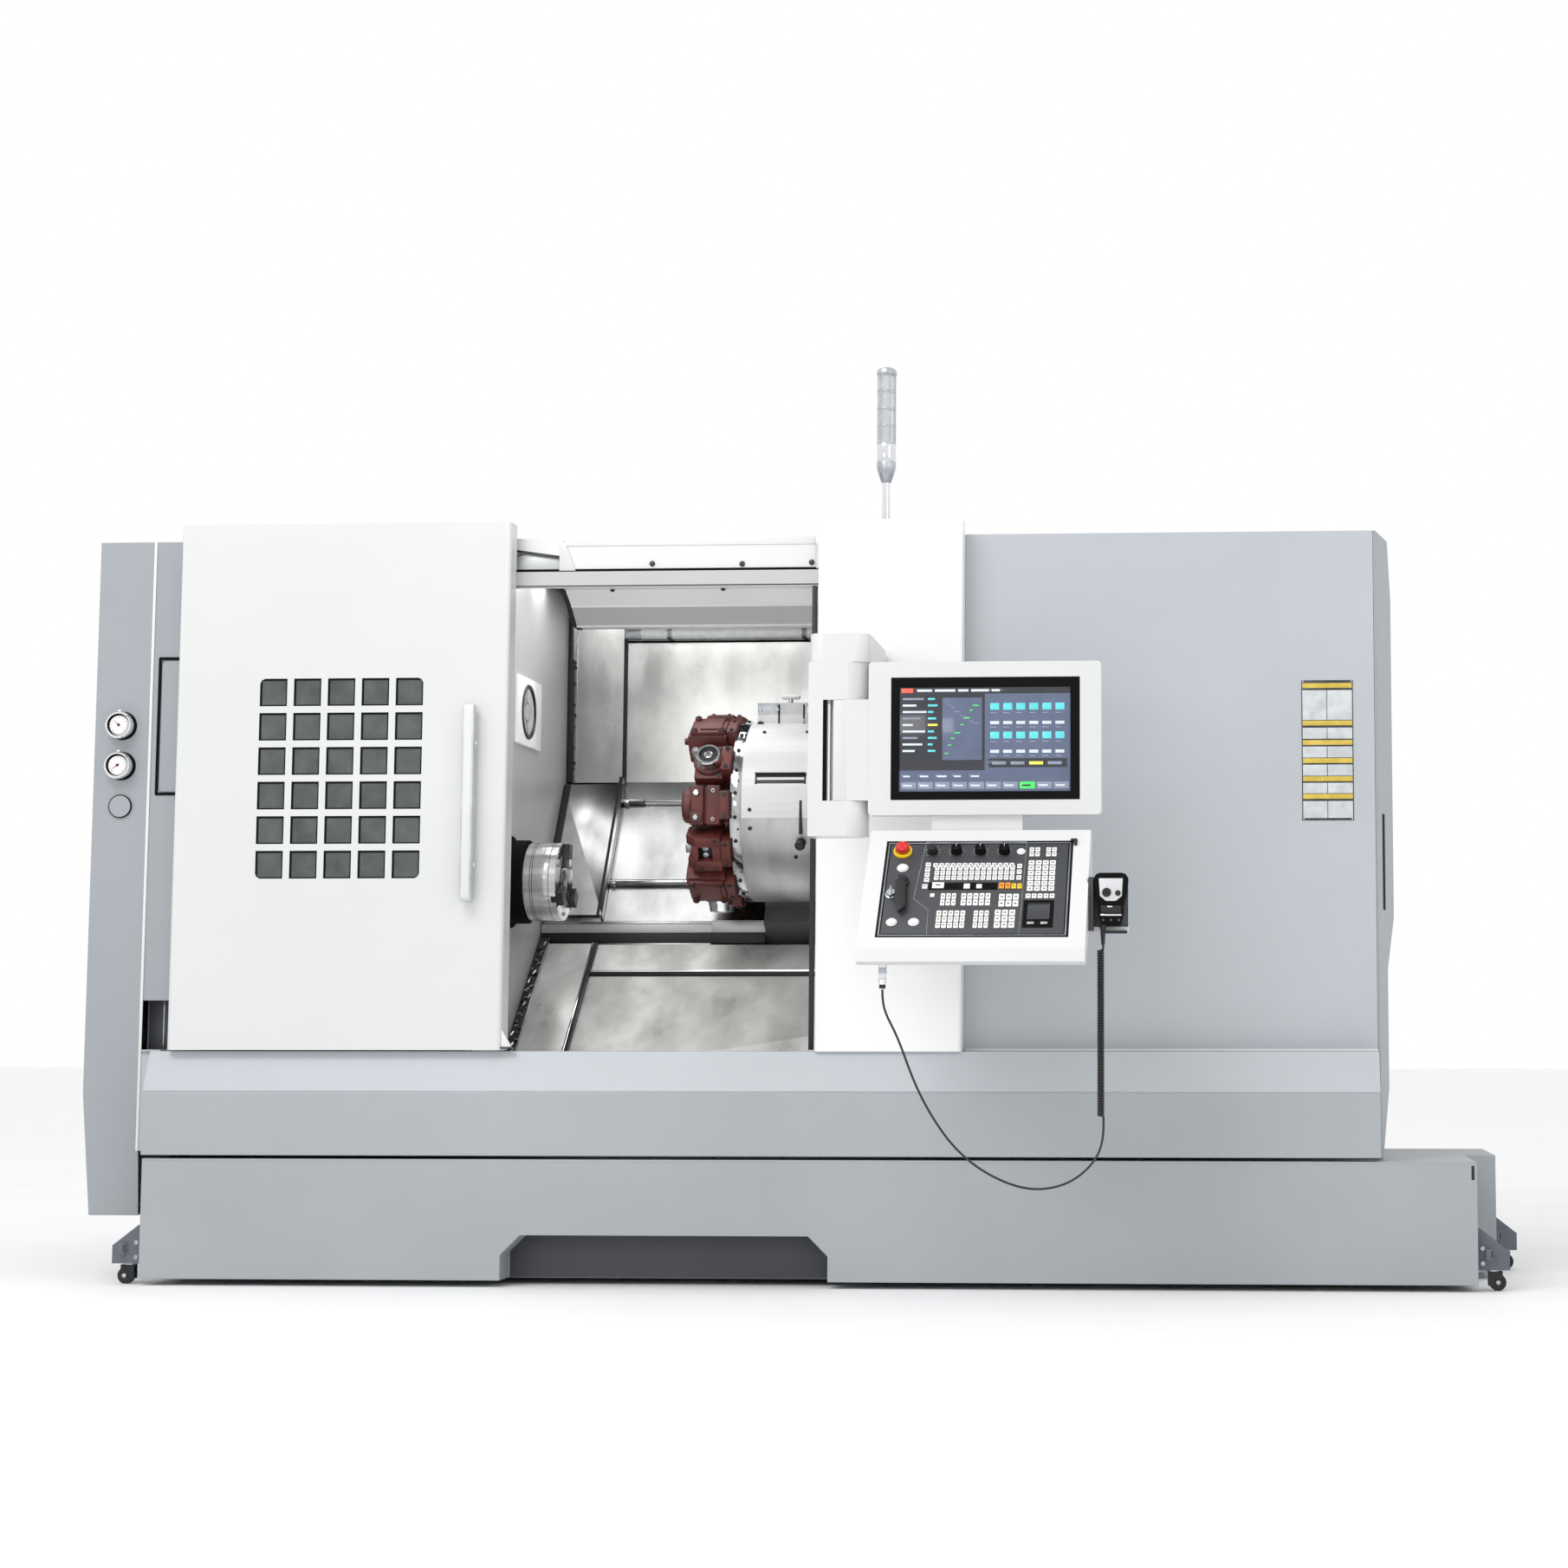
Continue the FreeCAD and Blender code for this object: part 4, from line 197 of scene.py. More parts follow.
# %% Paint finishes
SATIN, SHINY = (0.42, 0.52), (0.26, 0.34)
cover_grey = finish("cover_grey", (182, 187, 192), 6, SATIN)
end_grey = finish("end_grey", (156, 161, 166), 6, (0.40, 0.5))
tank_grey = finish("tank_grey", (162, 167, 171), 7, SATIN)
gloss_white = finish("gloss_white", (222, 222, 222), 4, SHINY, bump=0.02)
post_white = finish("post_white", (240, 241, 240), 4, SHINY, bump=0.02)
pod_white = finish("pod_white", (214, 215, 215), 4, SHINY, bump=0.02)
door_white = finish("door_white", (211, 213, 212), 4, SHINY, bump=0.02)
# The lower cover's paint is the cover grey made darker: painted shade on its upright face.
shaded_cover_grey = finish("shaded_cover_grey", (164, 169, 173), 6, SATIN)
# A dark paint for sheets put in recesses that lie in shade: painted shade.
recess_shade_grey = finish("recess_shade_grey", (74, 76, 82), 10, (0.5, 0.62))
room_grey = finish("room_grey", (204, 206, 206), 14, (0.30, 0.42))
iron_grey = finish("iron_grey", (120, 122, 124), 24, (0.5, 0.7), grain=260, bump=0.2, drift=7)
cast_red = finish("cast_red", (110, 50, 44), (74, 30, 27), (0.36, 0.6), grain=180, bump=0.35, drift=14)
bracket_grey = finish("bracket_grey", (108, 113, 121), 24, (0.34, 0.5))
print("paints made")

# %% [markdown]
# ### Bare metals
# The working room is lined with brushed stainless that coolant has clouded, so its gloss varies in soft patches.
# Ground steel is finer and shinier, chrome shinier still, and the zinc of small fasteners is duller and bluish.

# %% Metal finishes
stainless = finish("stainless", (220, 220, 217), (184, 184, 182), (0.18, 0.38), grain=240, bump=0.03,
                   drift=4.5, stretch=(1.7, 1, 1), Metallic=1)
ground_steel = finish("ground_steel", (188, 189, 191), (150, 151, 154), (0.05, 0.14), grain=90,
                      bump=0.015, drift=6, stretch=(6, 1, 1), Metallic=1)
clouded = finish("clouded", (254, 254, 251), 58, (0.2, 0.4), grain=240, bump=0.03, drift=5,
                 stretch=(1.4, 1, 1), Metallic=0.3)
satin_steel = finish("satin_steel", (196, 197, 197), (172, 173, 174), (0.36, 0.46), grain=160, bump=0.03,
                     drift=5, stretch=(3, 1, 1), Metallic=0.8)
# The chuck's broad bright and dark bands run round its axis and stand for reflections: painted reflection.
chuck_painted_bands = finish("chuck_painted_bands", (252, 252, 252), (92, 94, 97), (0.1, 0.2), grain=90,
                     bump=0.012, drift=13, stretch=(0.05, 1, 1), Metallic=0.35)
way_steel = finish("way_steel", (178, 179, 178), 40, (0.2, 0.32), grain=240, bump=0.03,
                   drift=4.5, stretch=(1.7, 1, 1), Metallic=1)
aluminium = finish("aluminium", (206, 208, 208), 20, (0.34, 0.5), grain=200, bump=0.05,
                   drift=3, stretch=(0.3, 1, 4), Metallic=0.6)
chrome = finish("chrome", (236, 236, 238), (220, 221, 224), (0.05, 0.12), grain=300, bump=0.01,
                drift=9, Metallic=1)
zinc = finish("zinc", (200, 203, 208), (168, 171, 177), (0.26, 0.42), grain=400, bump=0.08, drift=30,
              Metallic=1)
print("metals made")

# %% [markdown]
# ### Plastics, rubber and glass
# Moulded plastic has a fine pebble grain, rubber a duller one. The door's panes are tinted, and from outside they
# look an even mid-grey because the room behind them is dark, so they get a solid grey body with a weak shine.

# %% Plastic, rubber and glass
black_plastic = finish("black_plastic", (26, 26, 28), 10, (0.36, 0.54), grain=700, bump=0.12)
matt_black = finish("matt_black", (10, 10, 11), 6, (0.7, 0.85), grain=700, bump=0.06,
                    Specular_IOR_Level=0.15)
panel_plastic = finish("panel_plastic", (64, 66, 70), 12, (0.42, 0.56), grain=900, bump=0.1)
white_plastic = finish("white_plastic", (238, 238, 236), 16, (0.3, 0.42), bump=0.05)
red_plastic = finish("red_plastic", (214, 34, 26), (186, 22, 18), (0.2, 0.3), bump=0.03, drift=12)
orange_plastic = finish("orange_plastic", (240, 150, 20), (228, 132, 12), (0.3, 0.4), bump=0.05)
yellow_plastic = finish("yellow_plastic", (244, 206, 40), (232, 188, 26), (0.3, 0.4), bump=0.05)
dark_steel = finish("dark_steel", (84, 85, 87), 26, (0.3, 0.5), grain=300, bump=0.1, drift=20,
                    Metallic=0.8)
rubber = finish("rubber", (30, 30, 31), 12, (0.5, 0.7), grain=500, bump=0.2, drift=20)
sheath = finish("sheath", (36, 36, 38), 12, (0.36, 0.5), grain=600, bump=0.08, drift=20)
pane = finish("pane", (90, 94, 94), 18, (0.12, 0.22), grain=30, bump=0.03, drift=14,
              Specular_IOR_Level=0.3)
lens = finish("lens", (238, 240, 240), (222, 226, 228), (0.08, 0.2), grain=80, bump=0.1, drift=40,
              Transmission_Weight=0.6, IOR=1.46)
floor_white = finish("floor_white", (246, 246, 246), (243, 243, 244), (0.6, 0.7), bump=0.0)
floor.data.materials.append(floor_white)
print("plastics made")

# %% [markdown]
# ## Dressing the solid parts
# Each solid from the model gets its finish here. Sheet metal never has a knife edge, so the big covers also get a
# weld and a narrow bevel, which catches a thin line of light along each fold as on the real one.

# %% Finish each solid
JAWS = [f"chuck_jaw_{i}" for i in range(1, 4)]
FORKS = [f"caster_fork_{i}" for i in range(1, 5)]
WHEELS = [f"caster_wheel_{i}" for i in range(1, 5)]
SOLID_FINISHES = {
    cover_grey: ["right_front_cover", "rear_cover", "roof_panel", "electrical_cabinet", "cabinet_door"],
    # The headstock cover takes the darker end paint as painted shade, as it stands back behind the door.
    end_grey: ["left_end_cover", "right_end_cover", "headstock_cover", "access_hatch"],
    shaded_cover_grey: ["lower_front_cover"],
    tank_grey: ["coolant_tank"],
    bracket_grey: ["caster_brackets"],
    gloss_white: ["door_header", "console_housing"],
    post_white: ["front_post"],
    pod_white: ["support_arm", "screen_housing"],
    door_white: ["door_panel"],
    room_grey: ["left_inner_wall"],
    iron_grey: ["bed_casting", "headstock_casting", "tailstock_body", "saddle", "cross_slide", "spindle_motor"],
    stainless: ["rear_inner_wall"],
    way_steel: ["way_cover"],
    clouded: ["chip_apron"],
    satin_steel: ["turret_housing"],
    chuck_painted_bands: ["chuck_body"],
    dark_steel: JAWS,
    ground_steel: ["spindle_shaft", "guide_rails", "feed_screw", "tailstock_quill", "turret_disc"],
    cast_red: ["tool_holders"],
    chrome: ["door_handle", "pressure_gauges"],
    black_plastic: ["pendant", "cable_gland", "override_knob"] + FORKS,
    panel_plastic: ["key_panel"],
    red_plastic: ["estop_button"],
    pane: ["door_window"],
    lens: ["signal_tower", "work_light"],
    zinc: ["levelling_feet"],
    rubber: WHEELS,
    sheath: ["pendant_cable", "pendant_coil"],
}
for material, labels in SOLID_FINISHES.items():
    for label in labels:
        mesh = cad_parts[label].data
        mesh.materials.clear()
        mesh.materials.append(material)
undressed = set(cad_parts) - {label for labels in SOLID_FINISHES.values() for label in labels}
print("undressed", sorted(undressed))

FOLDED = {
    0.003: ["lower_front_cover", "headstock_cover", "right_front_cover", "right_end_cover", "left_end_cover",
            "coolant_tank", "rear_cover", "roof_panel", "access_hatch", "cabinet_door", "electrical_cabinet",
            "way_cover", "chip_apron", "front_post", "door_header", "door_panel"],
    0.002: ["screen_housing", "console_housing", "support_arm", "saddle", "tailstock_body", "turret_housing",
            "pendant"],
    0.0012: ["turret_disc", "chuck_body", "key_panel", "tailstock_quill"] + JAWS,
}
WELD_REACH, FOLD_ANGLE = 0.00002, math.radians(35)
for width, labels in FOLDED.items():
    for label in labels:
        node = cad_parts[label]
        weld = node.modifiers.new("weld", "WELD")
        weld.merge_threshold = WELD_REACH
        bevel = node.modifiers.new("fold", "BEVEL")
        bevel.width, bevel.segments = width, 2
        bevel.limit_method, bevel.angle_limit = "ANGLE", FOLD_ANGLE
        bevel.harden_normals = True
print("bevelled", sum(len(labels) for labels in FOLDED.values()))

# %% [markdown]
# ## The pendant's cord
# The hand pendant hangs on a curly cord. Below the curls a plain cord of the same thickness swings down in a free
# loop, runs to the left and rises into the gland under the desk. It is one line through the same points as the
# solid cord, so it keeps its true length: a curve with a round section bends evenly everywhere, which a mesh
# made of straight runs would not.

# %% The cord's route
CORD_THICK, COIL_OUTER = 6.5, 10.5
COIL_X, COIL_Y, COIL_TOP, COIL_LOW = 977, -537, 1014, 520
COIL_TURNS, TURN_STEPS, INSET = 64, 12, 0.97
BEND_SIDE, BEND_DROP = 0.7, 0.2
radius = COIL_OUTER - CORD_THICK / 2
LOOP = [
    (984, -530, 484), (977, -540, 444), (958, -551, 407), (926, -562, 374), (885, -572, 348), (836, -580, 334),
    (786, -589, 332), (736, -598, 343), (686, -606, 364), (638, -614, 392), (596, -622, 426), (558, -629, 466),
    (525, -636, 512), (496, -643, 560), (470, -650, 612), (448, -657, 666), (429, -663, 720), (409, -669, 770),
    (386, -676, 814), (374, -680, 854), (374, -680, 890)]
first_turn, last_turn = COIL_TOP - CORD_THICK - radius, COIL_LOW + CORD_THICK + radius
entry_x, entry_y, exit_y = COIL_X + radius, COIL_Y - radius, COIL_Y + radius
route = [(entry_x, entry_y, COIL_TOP), (entry_x, entry_y, COIL_TOP - CORD_THICK),
         (entry_x, COIL_Y - radius * BEND_SIDE, first_turn + radius * BEND_DROP)]
for step in range(1, COIL_TURNS * TURN_STEPS):
    angle = 2 * math.pi * step / TURN_STEPS
    height = first_turn + (last_turn - first_turn) * step / (COIL_TURNS * TURN_STEPS)
    route.append((COIL_X + radius / INSET * math.cos(angle), COIL_Y + radius / INSET * math.sin(angle), height))
route += [(entry_x, COIL_Y + radius * BEND_SIDE, last_turn - radius * BEND_DROP),
          (entry_x, exit_y, COIL_LOW + CORD_THICK), (entry_x, exit_y, COIL_LOW)] + LOOP
print("cord points", len(route))


curve = bpy.data.curves.new("pendant_cord", "CURVE")
curve.dimensions = "3D"
curve.bevel_depth = CORD_THICK / 2 * MILLI
curve.bevel_resolution, curve.resolution_u = 4, 3
line = curve.splines.new("NURBS")
line.points.add(len(route) - 1)
for point, spot in zip(line.points, route):
    point.co = (*(WORLD @ Vector(spot)), 1)
line.order_u, line.use_endpoint_u = 3, True
curve.materials.append(sheath)
pendant_cord = add("pendant_cord", curve)
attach(pendant_cord, "pod")
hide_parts("pendant_cable", "pendant_coil")

# %% [markdown]
# ## A workshop for small parts
# Bolts, trims, keys and castings share a few basic shapes: a block with softened edges, a shape turned on a
# lathe, and a cut-out profile with thickness. Small helpers give directions round a circle and the four strips of
# a frame. Making these in one mesh per piece, each part with its own finish,
# keeps the list of objects short and lets a whole group ride on one moving body.

# %% The piece builder
RIGHT, BACK, UP = Vector((1, 0, 0)), Vector((0, 1, 0)), Vector((0, 0, 1))
LEFT, FRONT, DOWN = -RIGHT, -BACK, -UP
CREASE = 0.62


def spoke(degrees, first=BACK, second=UP):
    """The direction at an angle from the first way towards the second."""
    return first * math.cos(math.radians(degrees)) + second * math.sin(math.radians(degrees))


def border(left, right, low, top, in_left, in_right, in_low, in_top):
    """The four strips between two upright rectangles, each as its low corner, width and height."""
    return ((left, low, in_left - left, top - low), (in_right, low, right - in_right, top - low),
            (in_left, low, in_right - in_left, in_low - low), (in_left, in_top, in_right - in_left, top - in_top))


def soften(part, offset):
    """Rounds every edge of a small part."""
    if offset:
        bmesh.ops.bevel(part, geom=part.edges[:], offset=offset, segments=2, affect="EDGES", profile=0.5)


class Piece:
    """One object made of blocks, turned shapes and profiles, measured in millimetres."""

    def __init__(self, label, body, place=WORLD):
        self.label, self.body, self.place = label, body, place
        self.mesh, self.finishes = bmesh.new(), []

    def take(self, part, material):
        """Moves a finished small part into the piece."""
        if material not in self.finishes:
            self.finishes.append(material)
        for face in part.faces:
            face.material_index = self.finishes.index(material)
            face.smooth = True
        bmesh.ops.transform(part, matrix=self.place, verts=part.verts)
        store = bpy.data.meshes.new("part")
        part.to_mesh(store)
        part.free()
        self.mesh.from_mesh(store)
        bpy.data.meshes.remove(store)

    def block(self, low, size, material, soft=1.0):
        """A block from its low corner, with softened edges."""
        part = bmesh.new()
        bmesh.ops.create_cube(part, size=1)
        for vert in part.verts:
            vert.co = Vector(low) + Vector((vert.co[i] + 0.5) * size[i] for i in range(3))
        soften(part, min(soft, min(size) * 0.45))
        self.take(part, material)

    def blocks(self, *rows):
        """Several blocks, each row with a low corner, three sizes, a finish and a softness."""
        for *numbers, material, soft in rows:
            self.block(numbers[:3], numbers[3:], material, soft)

    def turned(self, start, way, outline, material, steps=32):
        """A shape turned about a line: outline pairs give how far along it is and its radius there."""
        along = Vector(way).normalized()
        side = (UP if abs(along.z) < 0.9 else RIGHT).cross(along).normalized()
        part, rings = bmesh.new(), []
        for reach, radius in outline:
            middle = Vector(start) + along * reach
            ways = [spoke(360 * k / steps, side, along.cross(side)) for k in range(steps if radius else 1)]
            rings.append([part.verts.new(middle + out * radius) for out in ways])
        for ring, following in zip(rings, rings[1:]):
            for k in range(steps):
                corners = [ring[k % len(ring)], ring[(k + 1) % len(ring)],
                           following[(k + 1) % len(following)], following[k % len(following)]]
                corners = [v for i, v in enumerate(corners) if v not in corners[:i]]
                if len(corners) > 2:
                    part.faces.new(corners)
        bmesh.ops.recalc_face_normals(part, faces=part.faces)
        self.take(part, material)

    def pin(self, start, way, radius, long, material, steps):
        """A plain round bar with flat ends."""
        self.turned(start, way, [(0, 0), (0, radius), (long, radius), (long, 0)], material, steps)

    def profile(self, corners, thick, material, soft=1.0):
        """A flat outline of three-dimensional corners, given thickness along a vector."""
        part = bmesh.new()
        face = part.faces.new([part.verts.new(corner) for corner in corners])
        grown = bmesh.ops.extrude_face_region(part, geom=[face])["geom"]
        bmesh.ops.translate(part, vec=Vector(thick), verts=[v for v in grown if isinstance(v, bmesh.types.BMVert)])
        bmesh.ops.recalc_face_normals(part, faces=part.faces)
        soften(part, soft)
        self.take(part, material)

    def screw(self, start, way, radius, material):
        """A cap screw's head with a socket, standing on a surface."""
        high = radius * 0.8
        self.turned(start, way, [(-0.5, radius), (high * 0.75, radius), (high, radius * 0.8), (high, radius * 0.5),
                                 (high * 0.35, radius * 0.42), (high * 0.35, 0)], material, 16)

    def done(self):
        """Turns the collected parts into an object that rides on its body; edges beyond CREASE stay sharp."""
        for edge in self.mesh.edges:
            edge.smooth = len(edge.link_faces) == 2 and edge.calc_face_angle() < CREASE
        data = bpy.data.meshes.new(self.label)
        self.mesh.to_mesh(data)
        self.mesh.free()
        for material in self.finishes:
            data.materials.append(material)
        thing = add(self.label, data)
        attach(thing, self.body)
        print(self.label, len(data.polygons), "faces")
        return thing


# %% [markdown]
# ## Left end: gauges, seam and hatch
# Two pressure gauges sit one above the other on the end cover, each a chrome ring round a white dial with ticks
# and a pointer under a glass, and below them a blank cap closes a third hole. A black ring inside each chrome ring
# is painted shadow. A pale strip covers the joint between the end cover and the front cover. Black strips on the
# left, top and bottom of the access hatch are painted shade in the gap round it, and a dark sheet in the recess at
# the foot of the door's track is painted shade as well.

# %% Gauges
GAUGE_X, DIAL_RIM, CAP_Z = -2134, 27, 1471
gauges = Piece("gauge_dials", "machine")
for level, reading in ((1725, 140), (1598, 215)):
    for right, y, up, outline, shade, steps in (
            (0, COVER_FRONT, 0, [(0, 45), (2, 45), (3, 40)], matt_black, 48),
            (0, 101, 0, [(0, 43), (9, 43), (13, 40), (13, 35)], chrome, 48),
            # The black ring inside the chrome bezel is painted shadow.
            (0, 101, 0, [(13.1, 36), (7, 35), (7, 0)], matt_black, 48),
            (2, 93.8, -2, [(0, 31), (0.2, 31), (0.2, 0)], zinc, 48),
            (0, 93.5, 0, [(0, 28.6), (0.5, 28.6), (0.5, 0)], white_plastic, 40),
            (0, 94, 0, [(0, 4), (4, 4), (5, 3), (5, 0)], black_plastic, 20)):
        gauges.turned((GAUGE_X + right, y, level + up), FRONT, outline, shade, steps)
    gauges.block((GAUGE_X - 6, 92, level + 39), (12, 12, 8), chrome, 2)
    for tick in range(13):
        out = spoke(225 - tick * 22.5, RIGHT, UP)
        tick_foot = Vector((GAUGE_X, 92.8, level)) + out * DIAL_RIM
        gauges.pin(tick_foot, -out, 0.55, 3.4 if tick % 3 else 6, black_plastic, 6)
    gauges.turned((GAUGE_X, 92, level), spoke(reading, RIGHT, UP), [(-7, 0), (-7, 1.5), (22, 0.5), (22, 0)],
                  red_plastic, 8)
gauges.turned((GAUGE_X, COVER_FRONT, CAP_Z), FRONT, [(0, 36.5), (6.2, 36.5), (6.2, 33.5)], matt_black, 48)
gauges.turned((GAUGE_X, 124.5, CAP_Z), FRONT, [(0, 33.5), (1.2, 33.5), (1.2, 0)], end_grey, 48)
gauges.done()

# %% Seam strip and painted shade round the hatch and in the door track
HATCH_LEFT, HATCH_LOW, HATCH_WIDE, HATCH_HIGH = -2016, 1514, 176, 419
seams = Piece("left_seams", "machine")
seams.blocks(
    (-2050, 126, 400, 9, 5, 1909, gloss_white, 1.5), (-2044, 129, 400, 62, 3, 312, cover_grey, 0.8),
    # The dark sheet in the recess at the foot of the door's track is painted shade.
    (-2042, 187, 714, 118, 2.5, 158, recess_shade_grey, 0.8), (-1996, 184, 714, 4, 3, 158, zinc, 0.8),
    # Black strips on the hatch's left, top and bottom: painted shade in the gap round it.
    (HATCH_LEFT - 9, 126.5, HATCH_LOW - 7, 9, 5, HATCH_HIGH + 14, matt_black, 1.5),
    (HATCH_LEFT - 7, 126.5, HATCH_LOW - 9, HATCH_WIDE + 8, 5, 9, matt_black, 1.5),
    (HATCH_LEFT - 7, 126.5, HATCH_LOW + HATCH_HIGH, HATCH_WIDE + 8, 5, 9, matt_black, 1.5))
seams.done()

# %% [markdown]
# ## The door's handle and foot
# The handle is a flat bar with a white strip, on two turned stands with collars. A small bent plate at the door's
# foot keeps the leaf on its guide.

# %% Handle ends and foot guide
HANDLE_X, HANDLE_Y = -990, -12
trim = Piece("handle_trim", "door")
trim.blocks(
    (HANDLE_X - 19, HANDLE_Y - 17, 1164, 38, 32, 606, aluminium, 6),
    (HANDLE_X - 12, HANDLE_Y - 17.6, 1176, 24, 2, 582, pod_white, 0.8))
for level in (1277, 1653):
    trim.turned((HANDLE_X, 20, level), FRONT, [(0, 16), (3, 16), (5, 13), (18, 11)], chrome, 32)
    trim.turned((HANDLE_X, HANDLE_Y, level - 12), UP, [(0, 15), (0, 16), (24, 16), (24, 15)], chrome, 32)
trim.profile([(-881, 24, 722), (-850, 24, 722), (-881, 24, 776)], (0, 13, 0), gloss_white, 1)
trim.block((-884, 22, 716), (40, 16, 5), dark_steel, 1)
trim.done()

# %% [markdown]
# ## The door's window
# The grid is pressed steel with rounded cells, and each pane sits back behind it in a thin dark seal. The seal is
# what draws every cell so crisply, so each one gets a frame of its own. Each frame is wider on the left and at the
# top, where it also stands for the shadow of the grid's edge on the pane: partly seal, partly painted shadow.

# %% Window seals
CELL, BAR, CELLS_LEFT, CELLS_LOW = 86, 21, -1660, 1237
COLUMNS, ROWS = 5, 6
seal = Piece("window_seals", "door")
for cell in range(COLUMNS * ROWS):
    left = CELLS_LEFT + cell // ROWS * (CELL + BAR)
    low = CELLS_LOW + cell % ROWS * (CELL + BAR)
    right, top = left + CELL, low + CELL
    # The wider left and top strips are partly seal and partly painted shadow of the grid's edge.
    for x, z, wide, high in border(left, right, low, top, left + 5.6, right - 4, low + 4, top - 6):
        seal.block((x, 21.5, z), (wide, 2.4, high), matt_black, 0)
grid_wide, grid_high = COLUMNS * (CELL + BAR) - BAR, ROWS * (CELL + BAR) - BAR
for x, side in ((CELLS_LEFT, 1), (CELLS_LEFT + grid_wide, -1)):
    for z, up in ((CELLS_LOW, 1), (CELLS_LOW + grid_high, -1)):
        corner = [(0, 0), (15, 0), (5, 5), (0, 15)]
        seal.profile([(x + side * a, 20.6, z + up * b) for a, b in corner], (0, 3, 0), door_white, 0)
seal.done()

# %% [markdown]
# ## The header over the opening
# The white header carries the door rail. Three screws hold its face, an aluminium strip runs along its foot, and a
# chamfered plate closes its left end. Under the strip small screws hold the soffit sheet. A thin black line along the
# strip's foot is a painted shadow line, and the soffit's two folds are one sheet in a pale and a darker paint, as
# painted light and shade.

# %% Header details
HEADER_LEFT, HEADER_LONG, END_LEFT, END_RIGHT = -740, 818, -998, -742
SOFFIT = ((168, 2150), (250, 2112), (330, 2060), (420, 2060))
band_grey = finish("band_grey", (188, 190, 188), 8, (0.3, 0.42))
# One soffit sheet in a lit and a shaded copy of its paint: the upper fold pale, the lower fold darker as painted
# shade.
soffit_lit_pale = finish("soffit_lit_pale", (236, 237, 234), 10, (0.3, 0.42))
soffit_shade_grey = finish("soffit_shade_grey", (186, 187, 184), 12, (0.3, 0.45))
header = Piece("header_details", "machine")
for x, z in ((-458, 2226), (-174, 2223), (45, 2226)):
    header.turned((x, COVER_FRONT, z), FRONT, [(0, 9), (2, 9), (6, 7), (7.5, 4), (7.5, 0)], dark_steel, 20)
header.blocks(
    # The thin black line along the strip's foot is a painted shadow line.
    (END_LEFT, 108.1, 2150.5, 1076, 1, 49, band_grey, 0), (END_LEFT, 108.05, 2152, 1076, 1, 4, black_plastic, 0),
    (END_LEFT, 127, 2201, 1076, 4, 10, matt_black, 0.8), (60, 112, 2205, 16, 18, 101, zinc, 2))
for x in (-589, -238):
    header.screw((x, 158, 2149), DOWN, 7, black_plastic)


def fold(x, near, far, under, over, long, material, soft=0):
    """A strip along X between two (y, z) points of the soffit, from under to over the line that joins them."""
    (y0, z0), (y1, z1) = near, far
    header.profile([(x, y0, z0 - under), (x, y1, z1 - under), (x, y1, z1 + over), (x, y0, z0 + over)],
                   (long, 0, 0), material, soft)


fold(HEADER_LEFT, *SOFFIT[:2], 1.5, 1, HEADER_LONG, soffit_lit_pale)
fold(HEADER_LEFT, *SOFFIT[1:3], 1.5, 1, HEADER_LONG, soffit_shade_grey)
header.block((HEADER_LEFT, 127, 2284), (HEADER_LONG, 3, 25), gloss_white, 0.8)
for y, z in SOFFIT[1:3]:
    header.pin((HEADER_LEFT, y, z - 2), RIGHT, 4, HEADER_LONG, gloss_white, 10)
for near, far in zip(SOFFIT, SOFFIT[1:]):
    fold(HEADER_LEFT - 16, near, far, 2, 14, 16, rubber, 1)
for y, thick, material, soft, outline in (
        (129, -3, door_white, 1, [(-752, 2206), (-700, 2206), (-716, 2250), (-736, 2296), (-752, 2296)]),
        (COVER_FRONT, -2, gloss_white, 0,
         [(END_LEFT, 2290), (END_RIGHT, 2252), (END_RIGHT, ROOF_TOP), (END_LEFT, ROOF_TOP)]),
        (131, -4, dark_steel, 0.8, [(END_LEFT, 2284), (END_RIGHT, 2244), (END_RIGHT, 2252), (END_LEFT, 2290)]),
        (140, -4, aluminium, 0.8, [(END_LEFT, 2206), (-752, 2206), (-752, 2246), (-860, 2262)])):
    header.profile([(x, y, z) for x, z in outline], (0, thick, 0), material, soft)
header.blocks((-1000, 300, 2206, 4, 160, 94, black_plastic, 1), (50, 112, 712, 16, 10, 1437, black_plastic, 2))
header.done()

# %% [markdown]
# ## The operator pod: screen
# The screen sits in a black bezel, set back in the white housing. A lit picture is made of small raised fields on
# a dark ground, each with a faint glow of its own, because real control screens are mostly flat coloured tiles.
# The layout here is a general one: a program list, a tool path plot, axis values and a row of soft keys.


# %% Glowing finishes
def glow(label, shade, strength=0.5):
    """A screen colour that gives off a little light, under glossy glass."""
    colour = linear(shade)
    darker = tuple(v * 0.8 for v in colour[:3]) + (1,)
    return finish(label, colour, darker, (0.12, 0.2), bump=0.0, drift=20, Emission_Color=colour,
                  Emission_Strength=strength, Coat_Weight=0.5)


screen_night = glow("screen_night", (34, 37, 46), 0.4)
screen_slate = glow("screen_slate", (78, 88, 112))
screen_cyan = glow("screen_cyan", (84, 190, 196))
screen_white = glow("screen_white", (190, 198, 206))
screen_green = glow("screen_green", (60, 206, 84), 0.7)
screen_amber = glow("screen_amber", (214, 206, 76), 0.7)
screen_red = glow("screen_red", (214, 78, 60), 0.7)
screen_grey = glow("screen_grey", (120, 128, 146))
print("screen colours made")

